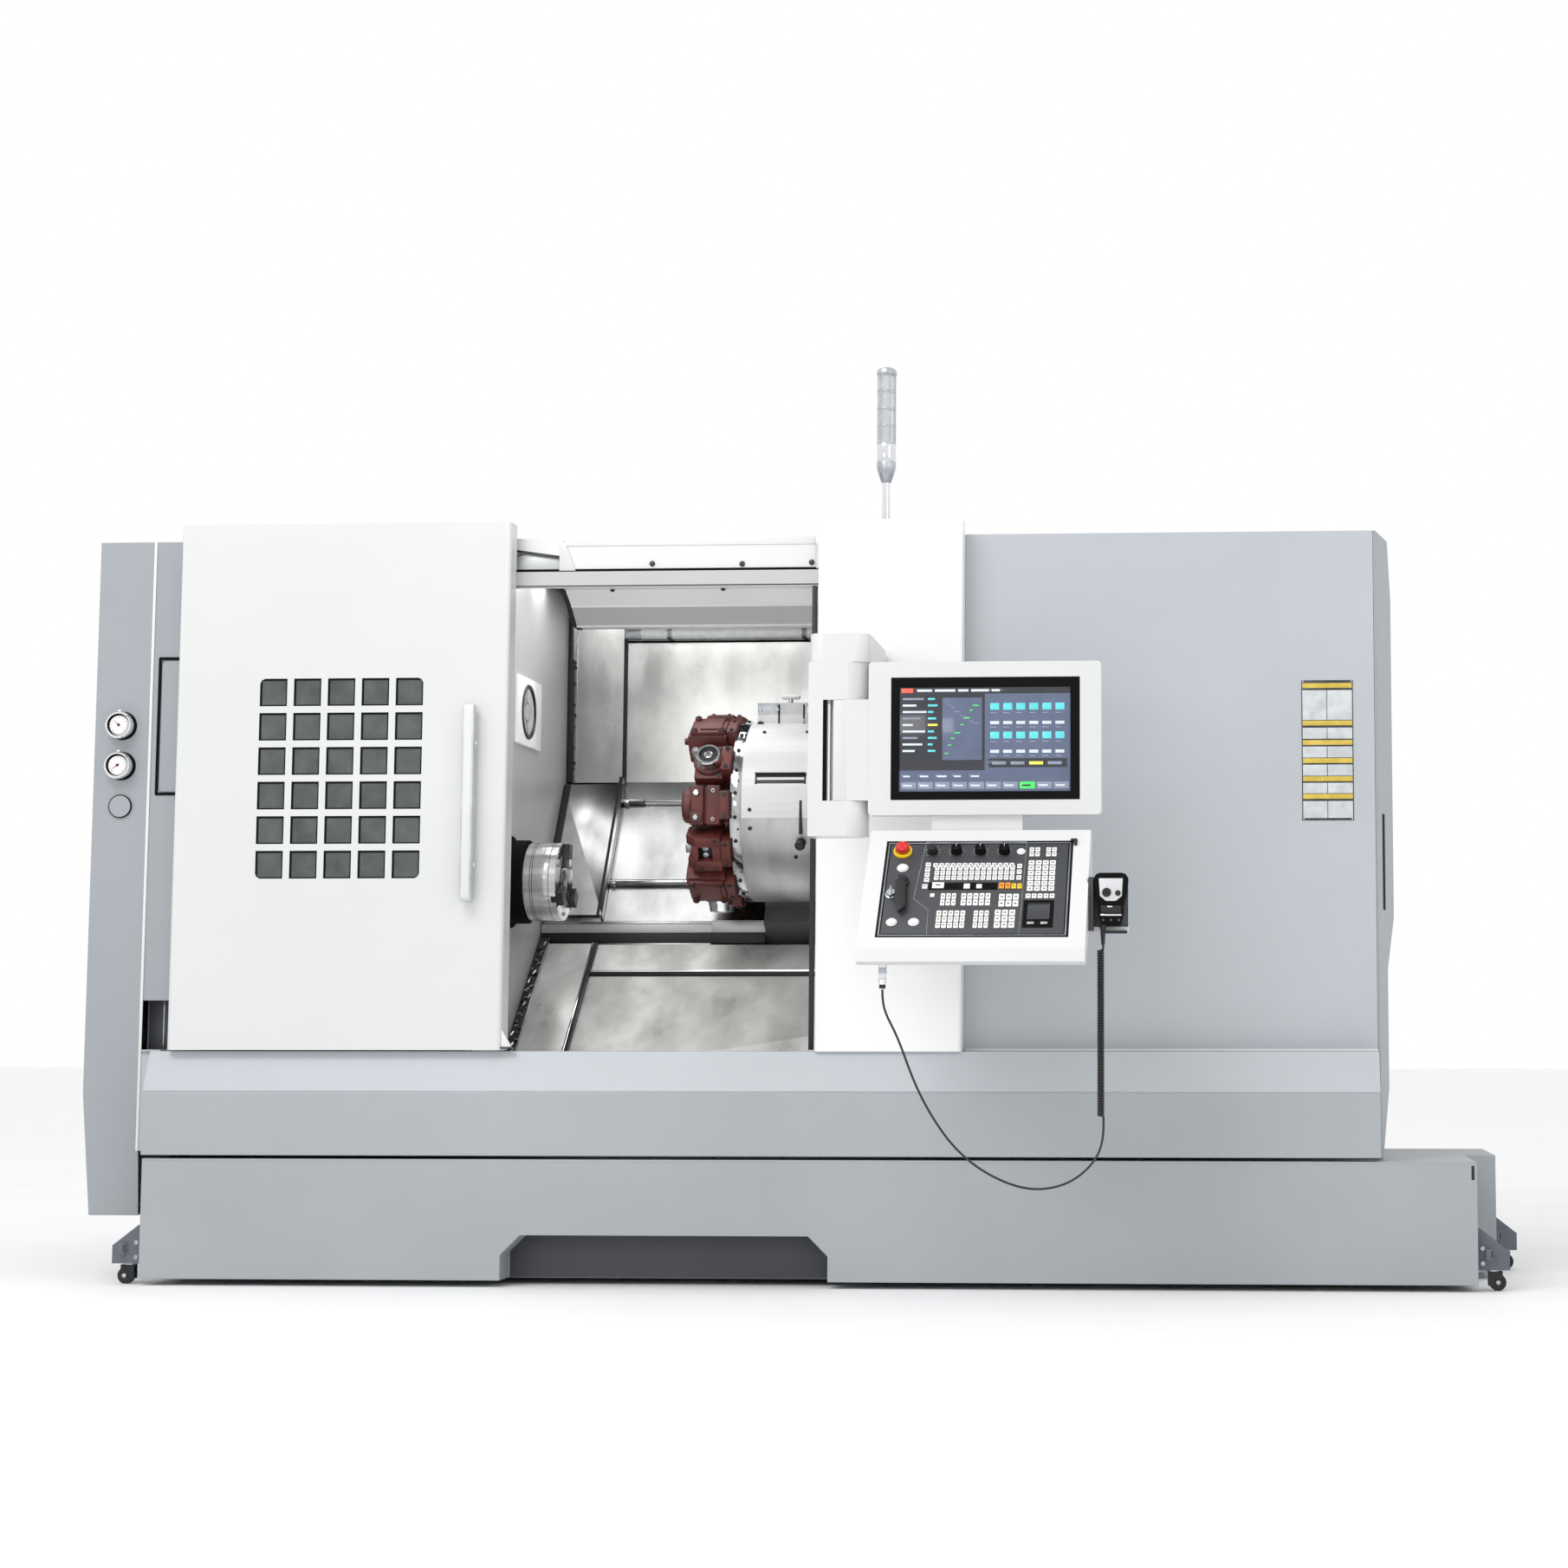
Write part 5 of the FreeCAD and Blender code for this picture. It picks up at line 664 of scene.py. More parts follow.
# %% Bezel and picture
BEZEL, PICTURE = (361, 911, 1439, 1797), (384, 884, 1463, 1769)
BEZEL_Y, GLASS_Y = -401, -396.8
picture_left, picture_right, picture_low, picture_top = PICTURE
bezel = Piece("screen_bezel", "pod")
for x, z, wide, high in border(*BEZEL, *PICTURE):
    bezel.block((x, BEZEL_Y, z), (wide, 7, high), matt_black, 0)
bezel.block((picture_left - 1, GLASS_Y, picture_low - 1),
            (picture_right - picture_left + 2, 2, picture_top - picture_low + 2), screen_slate, 0.2)


def field(x, z, wide, high, material, lift=0.8):
    """A coloured field of the picture, from its place and size in millimetres."""
    bezel.block((picture_left + x, GLASS_Y - lift, picture_low + z), (wide, lift + 0.2, high), material, 0.1)


field(0, 62, 250, 244, screen_night, 0.4)
field(250, 286, 250, 20, screen_night, 0.3)
field(6, 289, 34, 13, screen_red)
MENU = (44, 60, 30, 52, 24)
for k, wide in enumerate(MENU):
    field(52 + sum(MENU[:k]) + 8 * k, 292, wide, 7, screen_white)
WORDS, NUMBERS = (62, 40, 70, 52, 30, 66, 44, 58, 36), (20, 28, 16, 24, 28, 18, 26, 14, 22)
for row, (word, number) in enumerate(zip(WORDS, NUMBERS)):
    field(10, 268 - row * 19, word, 6, screen_white if row % 3 else screen_grey)
    field(84, 268 - row * 19, number, 6, screen_amber if row == 4 else screen_cyan)
field(126, 92, 116, 182, screen_slate, 0.6)
PATH, SHADOW = (0, 24, 44, 60, 60, 84, 104, 104, 126, 140, 140), (0, 10, 18, 30, 30, 42, 50, 50, 58, 64, 64)
for k, (rise, fall) in enumerate(zip(PATH, SHADOW)):
    field(134 + k * 9, 110 + rise, 9, 3, screen_green, 1.0)
    field(134 + k * 9, 262 - fall, 9, 2, screen_grey, 1.0)
for row in range(4):
    for k in range(6):
        field(266 + k * 38, 238 - row * 42, 26, 9 if row % 2 else 20, screen_white if row % 2 else screen_cyan)
        field(266 + k * 38, 228 - row * 42, 18, 3, screen_grey)
field(262, 70, 228, 26, screen_night, 0.6)
for k in range(4):
    field(272 + k * 54, 78, 40, 9, screen_amber if k == 2 else screen_grey, 0.9)
for k in range(10):
    field(6 + k * 49.5, 8, 44, 20, screen_green if k == 7 else screen_grey)
    field(12 + k * 49.5, 15, 26, 5, screen_night if k == 7 else screen_white, 1.1)
for k in range(5):
    field(6 + k * 49.5, 36, 44, 18, screen_slate, 0.9)
    field(12 + k * 49.5, 42, 20 + 4 * (k % 3), 5, screen_white, 1.1)
bezel.done()

# %% [markdown]
# ## The operator pod: key panel
# The dark key plate carries groups of white keycaps, four knobs, an emergency stop on a yellow ring, a small
# display and, on the left, round buttons and a lever switch. Keycaps are made in groups with the real pitch, each
# a softened block a little taller than the plate, since that even grid is what the eye reads as a keyboard.

# %% Keycaps in groups
keys = Piece("key_plate", "pod", DESK)
left, right, low, top = 355, 895, 44, 442
keys.block((left, low, -3), (right - left, top - low, 3), panel_plastic, 0.8)
for inset, wide, shade in ((0.5, 5, matt_black), (8, 2, zinc), (11, 3, matt_black)):
    across, along = right - left - 2 * inset, top - low - 2 * inset
    for x, u, size in ((left + inset, low + inset, (across, wide)), (left + inset, top - inset - wide, (across, wide)),
                       (left + inset, low + inset, (wide, along)), (right - inset - wide, low + inset, (wide, along))):
        keys.block((x, u, -0.5), (*size, 0.9), shade, 0.3)


def key_group(x, u, columns, rows, wide, high, gap=3.2, material=white_plastic):
    """A block of equal keycaps from its low left corner on the plate."""
    for k in range(columns * rows):
        left, low = x + k // rows * (wide + gap), u + k % rows * (high + gap)
        keys.blocks(
            (left, low, -0.2, wide, high, 3.1, material, 1.1),
            (left + wide * 0.28, low + high * 0.4, 2.7, wide * 0.44, high * 0.2, 0.35, panel_plastic, 0.1))


for group in ((503, 276, 14, 3, 13.4, 18), (497, 330, 14, 1, 13.6, 16), (472, 240, 1, 1, 15, 18),
              (475, 268, 1, 4, 15, 17, 4), (500, 242, 1, 1, 34, 24), (738, 276, 1, 3, 14, 18, 6),
              (770, 374, 2, 2, 13.5, 17), (818, 374, 2, 2, 13.5, 17), (770, 230, 4, 6, 17, 18.4),
              (768, 200, 5, 1, 13.8, 18), (528, 171, 3, 2, 12.4, 23), (586, 171, 5, 2, 14, 23),
              (693, 166, 3, 2, 16.6, 24), (521, 80, 5, 3, 13.6, 21), (626, 80, 3, 3, 12, 21), (685, 80, 3, 3, 17, 22),
              (690, 240, 2, 1, 15, 24, 3.2, orange_plastic), (726, 240, 2, 1, 13, 20, 3.2, yellow_plastic)):
    key_group(*group)
keys.block((490, 236, -0.4), (196, 30, 0.9), matt_black, 0.4)
for x, u, wide, high, soft in ((590, 240, 18, 20, 4), (626, 241, 16, 17, 2), (497, 206, 13, 14, 3)):
    keys.block((x, u, -0.2), (wide, high, 3.1), white_plastic, soft)

# %% Display, round buttons and lever
keys.blocks((764, 82, -0.4, 86, 110, 2.6, matt_black, 1.5), (776, 114, 2, 63, 64, 0.6, screen_night, 0.2))
for x in (777, 815):
    keys.block((x, 94, 1.8), (20, 9, 2), zinc, 1.2)
for x, u, r in ((410, 327, 13), (410, 280, 10), (397, 104, 12), (459, 104, 12), (746, 395, 9)):
    button = [(0, r + 3), (2.2, r + 3), (3, r + 1.5), (3, r), (6, r), (7.5, r * 0.8), (8, 0)]
    keys.turned((x, u, -0.4), UP, button, white_plastic, 32)
    keys.turned((x, u, 0.2), UP, [(0, r + 4.5), (1.6, r + 4.2), (1.8, r + 3)], zinc, 32)
keys.turned((414, 268, -0.4), UP, [(0, 20), (6, 20), (9, 15), (20, 12), (24, 9), (24, 0)], black_plastic, 32)
LEVER = ((400, 262), (426, 262), (434, 150), (414, 128), (398, 190))
keys.profile([(x, u, 8) for x, u in LEVER], (0, 0, 15), black_plastic, 4)
keys.turned((386, 216, -0.4), UP, [(0, 17), (4, 17), (6, 13), (14, 12), (15, 0)], zinc, 32)
keys.block((382, 196, 8), (7, 40, 12), zinc, 2)
for line in (((470, 437), (451, 201), (496, 153), (499, 52)), ((470, 437), (760, 437), (760, 372), (756, 52))):
    for (x0, u0), (x1, u1) in zip(line, line[1:]):
        keys.pin((x0, u0, 0.1), (x1 - x0, u1 - u0, 0), 0.9, math.dist((x0, u0), (x1, u1)), zinc, 6)
print("display, buttons and lever placed")

# %% Knobs and the emergency stop's ring
KNOB_X, KNOB_PITCH, KNOB_U, STOP_X = 491, 69, 396, 405
for step in range(4):
    x = KNOB_X + KNOB_PITCH * step
    keys.turned((x, KNOB_U, -0.3), UP, [(0, 21), (0.9, 21), (1.1, 20), (1.1, 15.2)], black_plastic, 36)
    keys.turned((x, KNOB_U, 0.4), UP, [(0, 19.4), (0.6, 19.4), (0.6, 18.4)], zinc, 36)
    for mark in range(9):
        dot = Vector((x, KNOB_U, 0)) + spoke(-40 + mark * 32.5, RIGHT, BACK) * 23
        keys.turned(dot, UP, [(0, 0.9), (0.5, 0.9), (0.6, 0)], white_plastic, 8)
    if step:
        fixed_knob = [(0, 17), (3, 17), (4, 16), (19, 14.6), (20.5, 13), (20.5, 0)]
        keys.turned((x, KNOB_U, 0.8), UP, fixed_knob, matt_black, 28)
        keys.blocks(
            (x - 2, KNOB_U - 12, 12, 4, 24, 9.4, black_plastic, 1.2),
            (x - 0.8, KNOB_U + 3, 20.9, 1.6, 8, 0.8, white_plastic, 0.2))
stop_ring = [(0, 27), (6.4, 27), (8, 25.5), (8, 21.4), (0.8, 21.2), (0.8, 0)]
keys.turned((STOP_X, KNOB_U, -0.3), UP, stop_ring, yellow_plastic, 48)
plate = keys.done()
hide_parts("key_panel")

# %% Moving knob and stop button
dial = Piece("override_dial", "knob", DESK)
dial.turned((KNOB_X, KNOB_U, 0.8), UP, [(0, 13.6), (3, 13.6), (4, 12.6), (18.6, 11.4), (19.6, 10), (19.6, 0)],
            black_plastic, 28)
dial.blocks(
    (KNOB_X - 2, KNOB_U - 11, 12, 4, 22, 7.9, black_plastic, 1.2),
    (KNOB_X - 0.8, KNOB_U + 3, 19.3, 1.6, 7, 0.7, white_plastic, 0.2))
dial.done()
mushroom = Piece("stop_head", "estop", DESK)
mushroom.turned((STOP_X, KNOB_U, 0.3), UP, [(12, 0), (12, 19.2), (14, 20), (22, 20), (26, 17), (28, 10), (28, 0)],
                red_plastic, 40)
mushroom.turned((STOP_X, KNOB_U, 0.3), UP, [(8, 9), (12.4, 9)], black_plastic, 24)
for turn in range(3):
    x, u, _ = Vector((STOP_X, KNOB_U, 0)) + spoke(90 + 120 * turn, RIGHT, BACK) * 9
    mushroom.block((x - 3, u - 1, 27), (6, 2, 1.3), white_plastic, 0.4)
stop = mushroom.done()
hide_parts("estop_button")

# %% [markdown]
# ## The hand pendant
# The pendant is a black moulded shell, wider at the head, with a silver face, a small hand wheel, a curved window
# and a bumper on top. It hangs in a dark sheet pocket beside the desk, and a tapered relief joins it to the cord.

# %% Pendant
silver_face = finish("silver_face", (214, 215, 217), 18, (0.3, 0.42), Metallic=0.3)
pendant = Piece("pendant_shell", "pod")
PENDANT_X, PENDANT_FACE = 1007, -557
half = [(50, 1202), (48, 1166), (36, 1122), (37, 1104), (28, 1070)]
SHELL = [(-42, 1216), (42, 1216)] + half + [(-x, z) for x, z in reversed(half)]
pendant.profile([(PENDANT_X + x * 0.98, PENDANT_FACE, z) for x, z in SHELL], (0, 40, 0), matt_black, 4)
pendant.block((PENDANT_X - 37, -557.2, 1203), (74, 22, 15), matt_black, 5)
SILVER = [(-34, 1202), (34, 1202), (31, 1152), (14, 1138), (-14, 1138), (-31, 1152)]
pendant.profile([(PENDANT_X + x, -558.6, z) for x, z in SILVER], (0, 3, 0), silver_face, 0.8)
for x, y, z, outline, steps in (
        (-12, PENDANT_FACE, 1162, [(0, 13), (4, 13), (5, 11), (5, 7), (3, 6), (3, 0)], 32),
        (-7, -561, 1165, [(0, 2.6), (4, 2.4), (5, 0)], 16),
        (20, PENDANT_FACE, 1160, [(0, 8), (4, 8), (4.6, 6.5), (4.6, 0)], 24)):
    pendant.turned((PENDANT_X + x, y, z), FRONT, outline, black_plastic, steps)
pendant.blocks(
    (PENDANT_X - 29, -558.4, 1104, 58, 3, 21, black_plastic, 1.2),
    (PENDANT_X - 30, -558.2, 1096, 60, 3, 5, chrome, 1.2), (PENDANT_X - 10, -559, 1120, 14, 3, 4, chrome, 0.8))
for x in (-22, 0, 22):
    pendant.turned((PENDANT_X + x, PENDANT_FACE, 1084), FRONT, [(0, 4), (1.4, 4), (1.8, 3), (1.8, 0)],
                   panel_plastic, 16)
relief = [(0, 11), (8, 10), (14, 7.5), (50, 5.2), (57, 4.4), (57, 3.2)]
pendant.turned((984, -544, 1071), DOWN, relief, black_plastic, 24)
for ring in range(5):
    thin = ring * 0.4
    pendant.turned((984, -544, 1052 - ring * 8), DOWN, [(0, 4), (0, 7.6 - thin), (3, 7.4 - thin), (3, 4)],
                   black_plastic, 24)
shell = pendant.done()
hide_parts("pendant")

# %% Pendant pocket and gland
pocket = Piece("pendant_pocket", "pod")
pocket.blocks(
    (941, -515.3, 1066, 114, 4, 142, panel_plastic, 1), (941, -556, 1055, 16, 44, 148, panel_plastic, 2),
    (990, -548, 1047, 62, 34, 8, black_plastic, 2))
for z, outline, shade, steps in (
        (964, [(0, 17), (4, 17), (5, 15), (5, 9)], gloss_white, 32),
        (958, [(0, 12), (10, 12), (12, 9.4), (40, 9.4), (42, 11), (52, 10), (70, 6.5), (70, 3.4)], chrome, 24),
        (946, [(0, 9.3), (0, 12.5), (14, 12.5), (14, 9.3)], zinc, 6)):
    pocket.turned((374, -680, z), DOWN, outline, shade, steps)
pocket.done()

# %% Desk trim on the slope
lip = Piece("desk_trim", "pod", DESK)
lip.blocks((886, 436, -0.2, 20, 9, 8, black_plastic, 3), (896, 420, -0.2, 10, 22, 8, black_plastic, 3))
lip.done()

# %% [markdown]
# ## Screws and seams of the pod
# The housing is folded sheet with a returned edge, closed at the back by a plate with vents. A filler plate covers the
# gap at the arm's hinge, and a black strip in the hinge's groove is painted shade; the strip is narrow, so that the
# pod still clears it as it swings.

# %% Painted groove shade and pod fixings
arm = Piece("arm_groove_shade", "machine")
ARM_FRONT, GAP_LOW, GAP_HIGH = -398, 1438.5, 295
# A black strip in the hinge's groove: painted shade.
arm.block((159, ARM_FRONT + 4, GAP_LOW), (13, 3, GAP_HIGH), matt_black, 0)
arm.done()
pod = Piece("pod_fixings", "pod")
pod.block((191, ARM_FRONT, GAP_LOW + 0.5), (40, 2, GAP_HIGH - 1), pod_white, 0.6)
for k in range(9):
    pod.block((500 + k * 34, -331.5, 1500), (16, 3, 130), black_plastic, 1)
for x in (320, 947):
    for z in (1420, 1818):
        pod.screw((x, -331, z), BACK, 6, zinc)
pod.done()

# %% [markdown]
# ## Working room
# The room is lined with brushed steel sheets bolted at their corners. A dark rubber strip seals the joint between
# the left wall and the back, with a bolt every hand's breadth, and black joints part the sheets. Two thin rods run
# across the sloping cover, and a bright folded lip parts it from the apron. In front of the saddle this lip is a
# piece of its own that rides on the carriage, because a fixed one would stand in the saddle's way.

# %% Room seams and seals
room = Piece("room_seams", "machine")
room.blocks((-999, 1318, 1640, 20, 21, 440, rubber, 3), (-999, 1322, 2076, 12, 16, 226, rubber, 3))
for k in range(6):
    room.screw((-979, 1328, 1690 + k * 76), RIGHT, 5, dark_steel)
room.blocks((-802, 1333, 1640, 14, 6, 660, rubber, 1.5), (-972, 1335.5, 1642, 4, 3, 655, zinc, 0.8))
for z in (1710, 1880, 2050):
    room.screw((-975, 1339, z), FRONT, 6, dark_steel)
room.blocks((-998, 142, 2300, 256, 1190, 3, iron_grey, 1), (-742, 425, 2300, 984, 907, 3, iron_grey, 1))
for k in range(5):
    room.block((-998 + k * 300, 425, 2294), (14, 907, 8), iron_grey, 2)
room.block((-797, 1334, 2138), (870, 5, 7), matt_black, 0)
room.done()

ROD_LEFT, UPPER_ROD, LOWER_ROD = -786, 510, 156
slope_trim = Piece("slope_trim", "machine", WAYS)
slope_trim.blocks(
    (-806, -2, 31, 11, 606, 6, rubber, 2), (-794, -2, 0.4, 3, 606, 30, zinc, 1), (-999, 2, 31, 26, 566, 7, rubber, 2),
    (-974, 2, 31, 3, 566, 5, zinc, 1))
stepped = [(0, 0), (0, 8), (76, 8), (80, 3.4), (1000, 3.4), (1000, 0)]
slope_trim.turned((ROD_LEFT, UPPER_ROD, 14), RIGHT, stepped, ground_steel, 20)
slope_trim.pin((ROD_LEFT, LOWER_ROD, 14), RIGHT, 9, 1030, ground_steel, 24)
for rod in (UPPER_ROD, LOWER_ROD):
    for x in (-780, -250, 240):
        slope_trim.block((x, rod - 12, 0), (18, 24, 22), zinc, 3)
slope_trim.done()

# %% Apron edge and steps
APRON_LOW = slope(420, 600, math.degrees(math.atan2(348, 405)))
APRON_LONG, LIP_LEFT, LIP_LONG, SADDLE_LEFT, SADDLE_WIDE, CHIPS = 700, -996, 586, -412, 184, 46
apron = Piece("apron_edge", "machine")
apron.blocks(
    (LIP_LEFT, 996, 1128, LIP_LONG, 10, 9, stainless, 2), (LIP_LEFT, 984, 1098, LIP_LONG, 6, 30, aluminium, 1),
    (-990, 1003, 1132, 204, 3, 24, way_steel, 0.8), (LIP_LEFT, 974, 1062, LIP_LONG, 8, 36, black_plastic, 2),
    (-790, 955, 1057, 380, 14, 5, stainless, 1), (-800, 826, 949, 2040, 22, 15, rubber, 2),
    (-790, 846, 966, 2030, 5, 4, chrome, 1))
apron.place = APRON_LOW
for x, lift, wide, long, high, shade, soft in (
        (-960, 4.2, 152, APRON_LONG, 2.5, clouded, 0.8), (-812, 4, 7, APRON_LONG, 9, chrome, 1.5),
        (-805, 2, 14, APRON_LONG, 9, dark_steel, 2), (-998, 3, 38, APRON_LONG + 30, 6, dark_steel, 1.5),
        (-964, 3, 4, APRON_LONG, 12, zinc, 1)):
    apron.block((x, 0, lift), (wide, long, high), shade, soft)
for k in range(CHIPS):
    lean = math.radians(70 * math.sin(k * 2.4))
    way = Vector((math.cos(lean), math.sin(lean), 0.4))
    chip = Vector((-980 + 9 * math.sin(k * 1.7), 20 + k * 15, 12 + 4 * math.cos(k * 3.1))) - way * 9
    apron.turned(chip, way, [(0, 0), (0, 2.2), (9, 4.5), (18, 2.2), (18, 0)], (zinc, dark_steel, chrome)[k % 3], 7)
apron.done()
sliding = Piece("saddle_lip", "carriage")
for y, z, deep, high, shade in ((988, 1137.6, 8, 2.2, stainless), (981.5, 1098, 2, 39, aluminium),
                                (971.5, 1062, 2, 36, black_plastic)):
    sliding.block((SADDLE_LEFT, y, z), (SADDLE_WIDE, deep, high), shade, 0.6)
sliding.done()

# %% [markdown]
# ### Lamps in the room
# A tube lamp hangs in clips under the roof, and a round spot lamp sits on a white glass plate in the left wall. The
# tube is a turned glass with metal ends, and the spot is a dark ring round a chrome dish that catches the light.

# %% Tube lamp and spot
lamp_glass = finish("lamp_glass", (246, 246, 246), 10, (0.1, 0.2), bump=0.0,
                    Emission_Color=(1, 1, 1, 1), Emission_Strength=0.25)
lights = Piece("room_lamps", "machine")
LAMP_Z, LAMP_Y = 2165, 1310
for x, outline, shade in ((-790, [(0, 0), (0, 15), (2, 17), (56, 17), (58, 14)], zinc),
                          (-732, [(0, 15.4), (718, 15.4)], lamp_glass),
                          (-14, [(0, 14), (2, 17), (62, 17), (64, 15), (64, 0)], zinc)):
    lights.turned((x, LAMP_Y, LAMP_Z), RIGHT, outline, shade, 28)
for x in (-640, -160):
    lights.block((x, LAMP_Y - 21, LAMP_Z - 21), (16, 50, 42), black_plastic, 4)
lights.block((-780, 1322, 2184), (860, 14, 60), dark_steel, 2)
for x in (-520, -250, 0):
    lights.block((x, 1318, 2194), (14, 10, 48), black_plastic, 2)
SPOT_Y, SPOT_Z, SPOT_WIDE, SPOT_HIGH = 586, 1712, 310, 226
lights.block((-1000, SPOT_Y, SPOT_Z), (12, SPOT_WIDE, SPOT_HIGH), lamp_glass, 3)
middle = (-988, SPOT_Y + SPOT_WIDE * 0.42, SPOT_Z + SPOT_HIGH / 2)
lights.turned(middle, RIGHT, [(0, 92), (5, 90), (5, 80), (1, 76), (0, 76)], dark_steel, 48)
lights.turned(middle, RIGHT, [(0.6, 78), (3, 60), (1, 40), (4, 22), (5, 0)], chrome, 48)
lights.done()

# %% [markdown]
# ## Chuck and jaws
# The chuck is a steel drum with three dark grooves. Its face is a flat ring with stepped edges and six screws, and a
# thin dark line runs along both sides of each jaw. A black collar closes the gap to the left wall. The drum's bright
# and dark bands round its axis are painted reflection.

# %% Chuck face
CHUCK_Y, CHUCK_Z = 560, 1251


def on_axis(x):
    """A point on the spindle's axis."""
    return Vector((x, CHUCK_Y, CHUCK_Z))


chuck = Piece("chuck_details", "spindle")
for x in (-906, -899, -846):
    chuck.turned(on_axis(x), RIGHT, [(0, 124), (0.4, 127.6), (2.2, 127.6), (2.6, 124)], panel_plastic, 64)
face_rings = [(0, 120), (1.6, 119), (1.6, 92), (0.6, 91), (0.6, 60), (1.8, 58), (1.8, 42), (-6, 40)]
chuck.turned(on_axis(-823), RIGHT, face_rings, ground_steel, 64)
for k in range(6):
    chuck.screw(on_axis(-821.6) + spoke(30 + 60 * k) * 104, RIGHT, 7, zinc)
for k in range(3):
    for offset in (-27, 27):
        start = on_axis(-822.6) + spoke(90 + 120 * k) * 50 + spoke(180 + 120 * k) * offset
        chuck.pin(start, spoke(90 + 120 * k), 3.5, 72, black_plastic, 8)
chuck.done()
collar = Piece("spindle_collar", "machine")
sleeve = [(0, 150), (6, 150), (8, 146), (8, 136), (64, 136), (68, 132), (68, 123.5)]
collar.turned(on_axis(-1000), RIGHT, sleeve, matt_black, 64)
for k in range(8):
    collar.screw(on_axis(-993) + spoke(22.5 + 45 * k) * 143, RIGHT, 5, zinc)
collar.done()

# %% [markdown]
# ## The turret
# The turret's guard is a drum. Its upper half wears a painted cover of thin flat sheets, the lower half is bare
# steel, and they meet in a level seam. On it are a framed slot, a few screws, a latch knob and a block with a handle.

# %% Guard and its cover
TURRET_Y, TURRET_Z, DRUM_R, SHEETS = 800, 1495, 300, 40
SLOT_LOW, SLOT_TOP = 1563, 1600


def on_drum(z):
    """How far back the drum's front face is at a height."""
    return TURRET_Y - math.sqrt(DRUM_R ** 2 - (z - TURRET_Z) ** 2)


def off_drum(x, z, lift):
    """A point over the drum's front face, and the direction in which the face looks there."""
    out = Vector((0, on_drum(z) - TURRET_Y, z - TURRET_Z)).normalized()
    return Vector((x, TURRET_Y, TURRET_Z)) + out * (DRUM_R + lift), out


turret = Piece("turret_guard", "cross")
rays = [spoke(188 - 196 * k / SHEETS) for k in range(SHEETS + 1)]
outer, inner = ([Vector((-232, TURRET_Y, TURRET_Z)) + ray * (DRUM_R + lift) for ray in rays] for lift in (1.6, -1))
for k in range(SHEETS):
    turret.profile([outer[k], outer[k + 1], inner[k + 1], inner[k]], (286, 0, 0), gloss_white, 0)
turret.blocks(
    (-190, on_drum(SLOT_TOP) - 1, SLOT_LOW, 165, 4, 5, black_plastic, 0.6),
    (-190, on_drum(SLOT_LOW) - 3, 1596, 165, 14, 5, black_plastic, 0.6))
for x, low, high, off, wide, shade in ((-190, SLOT_LOW, SLOT_TOP, 3, 6, black_plastic),
                                       (-30, SLOT_LOW, SLOT_TOP, 3, 6, black_plastic),
                                       (-186, 1565, 1598, 2, 158, panel_plastic)):
    turret.profile([(x, on_drum(low) - off, low), (x, on_drum(high) - off, high), (x, on_drum(high) + 10, high),
                    (x, on_drum(low) + 10, low)], (wide, 0, 0), shade, 0.6)
for x, z in ((-180, 1742), (-38, 1742), (-205, 1480), (-205, 1420), (-60, 1330)):
    turret.screw(*off_drum(x, z, 1), 6, black_plastic)
latch = [(0, 16), (6, 16), (8, 12), (8, 7), (22, 7), (24, 15), (34, 17), (38, 12), (38, 0)]
turret.turned(*off_drum(-40, 1375, -2), latch, black_plastic, 32)
turret.blocks(
    (-44, on_drum(1470) - 3, 1400, 10, 20, 110, black_plastic, 2),
    (-231, TURRET_Y - 12, TURRET_Z + DRUM_R - 4, 270, 24, 7, zinc, 2))
turret.done()

# %% Block and T-handle on the guard
top = Piece("guard_block", "cross")
top.blocks(
    (-216, 704, 1752, 198, 192, 60, gloss_white, 4), (-216, 704, 1812, 70, 192, 38, zinc, 4),
    (-140, 712, 1812, 78, 176, 34, dark_steel, 3), (-218, 702, 1750, 202, 196, 6, matt_black, 1),
    (-147, 701.5, 1760, 5, 6, 84, matt_black, 1), (-64, 701.5, 1760, 5, 6, 84, matt_black, 1),
    (-56, 704, 1806, 38, 192, 44, zinc, 5))
for x, front_z, top_z in ((-206, 1826, 1850), (-150, 1826, 1812), (-60, 1790, 1812), (-30, 1790, 1850)):
    top.screw((x, 704, front_z), FRONT, 6, zinc)
    top.screw((x, 760, top_z), UP, 6, zinc)
top.turned((-108, 722, 1838), UP, [(0, 15), (4, 15), (6, 8), (26, 7), (28, 0)], chrome, 28)
top.turned((-140, 722, 1870), RIGHT, [(0, 0), (2, 7), (8, 8), (56, 8), (62, 7), (64, 0)], gloss_white, 24)
top.turned((-205, 703, 1776), FRONT, [(0, 12), (6, 12), (8, 8), (8, 0)], black_plastic, 24)
top.done()

# %% [markdown]
# ## Tool holders
# Twelve red-brown castings stand round the disc. Several kinds take turns: a block with a sloped and bolted lid, a
# driven head with a pale flange round a dark bore, a ribbed box with a nut, and a slotted clamp. Each is built once
# in the frame of its own station, where y points out from the turret axis, and then set round the disc.


# %% The disc's rim
def round_disc(x, radius, count, first=0):
    """Places spread evenly round the turret's axis, each with the direction that leads out to it."""
    outs = [spoke(first + 360 * k / count) for k in range(count)]
    return [(Vector((x, TURRET_Y, TURRET_Z)) + out * radius, out) for out in outs]


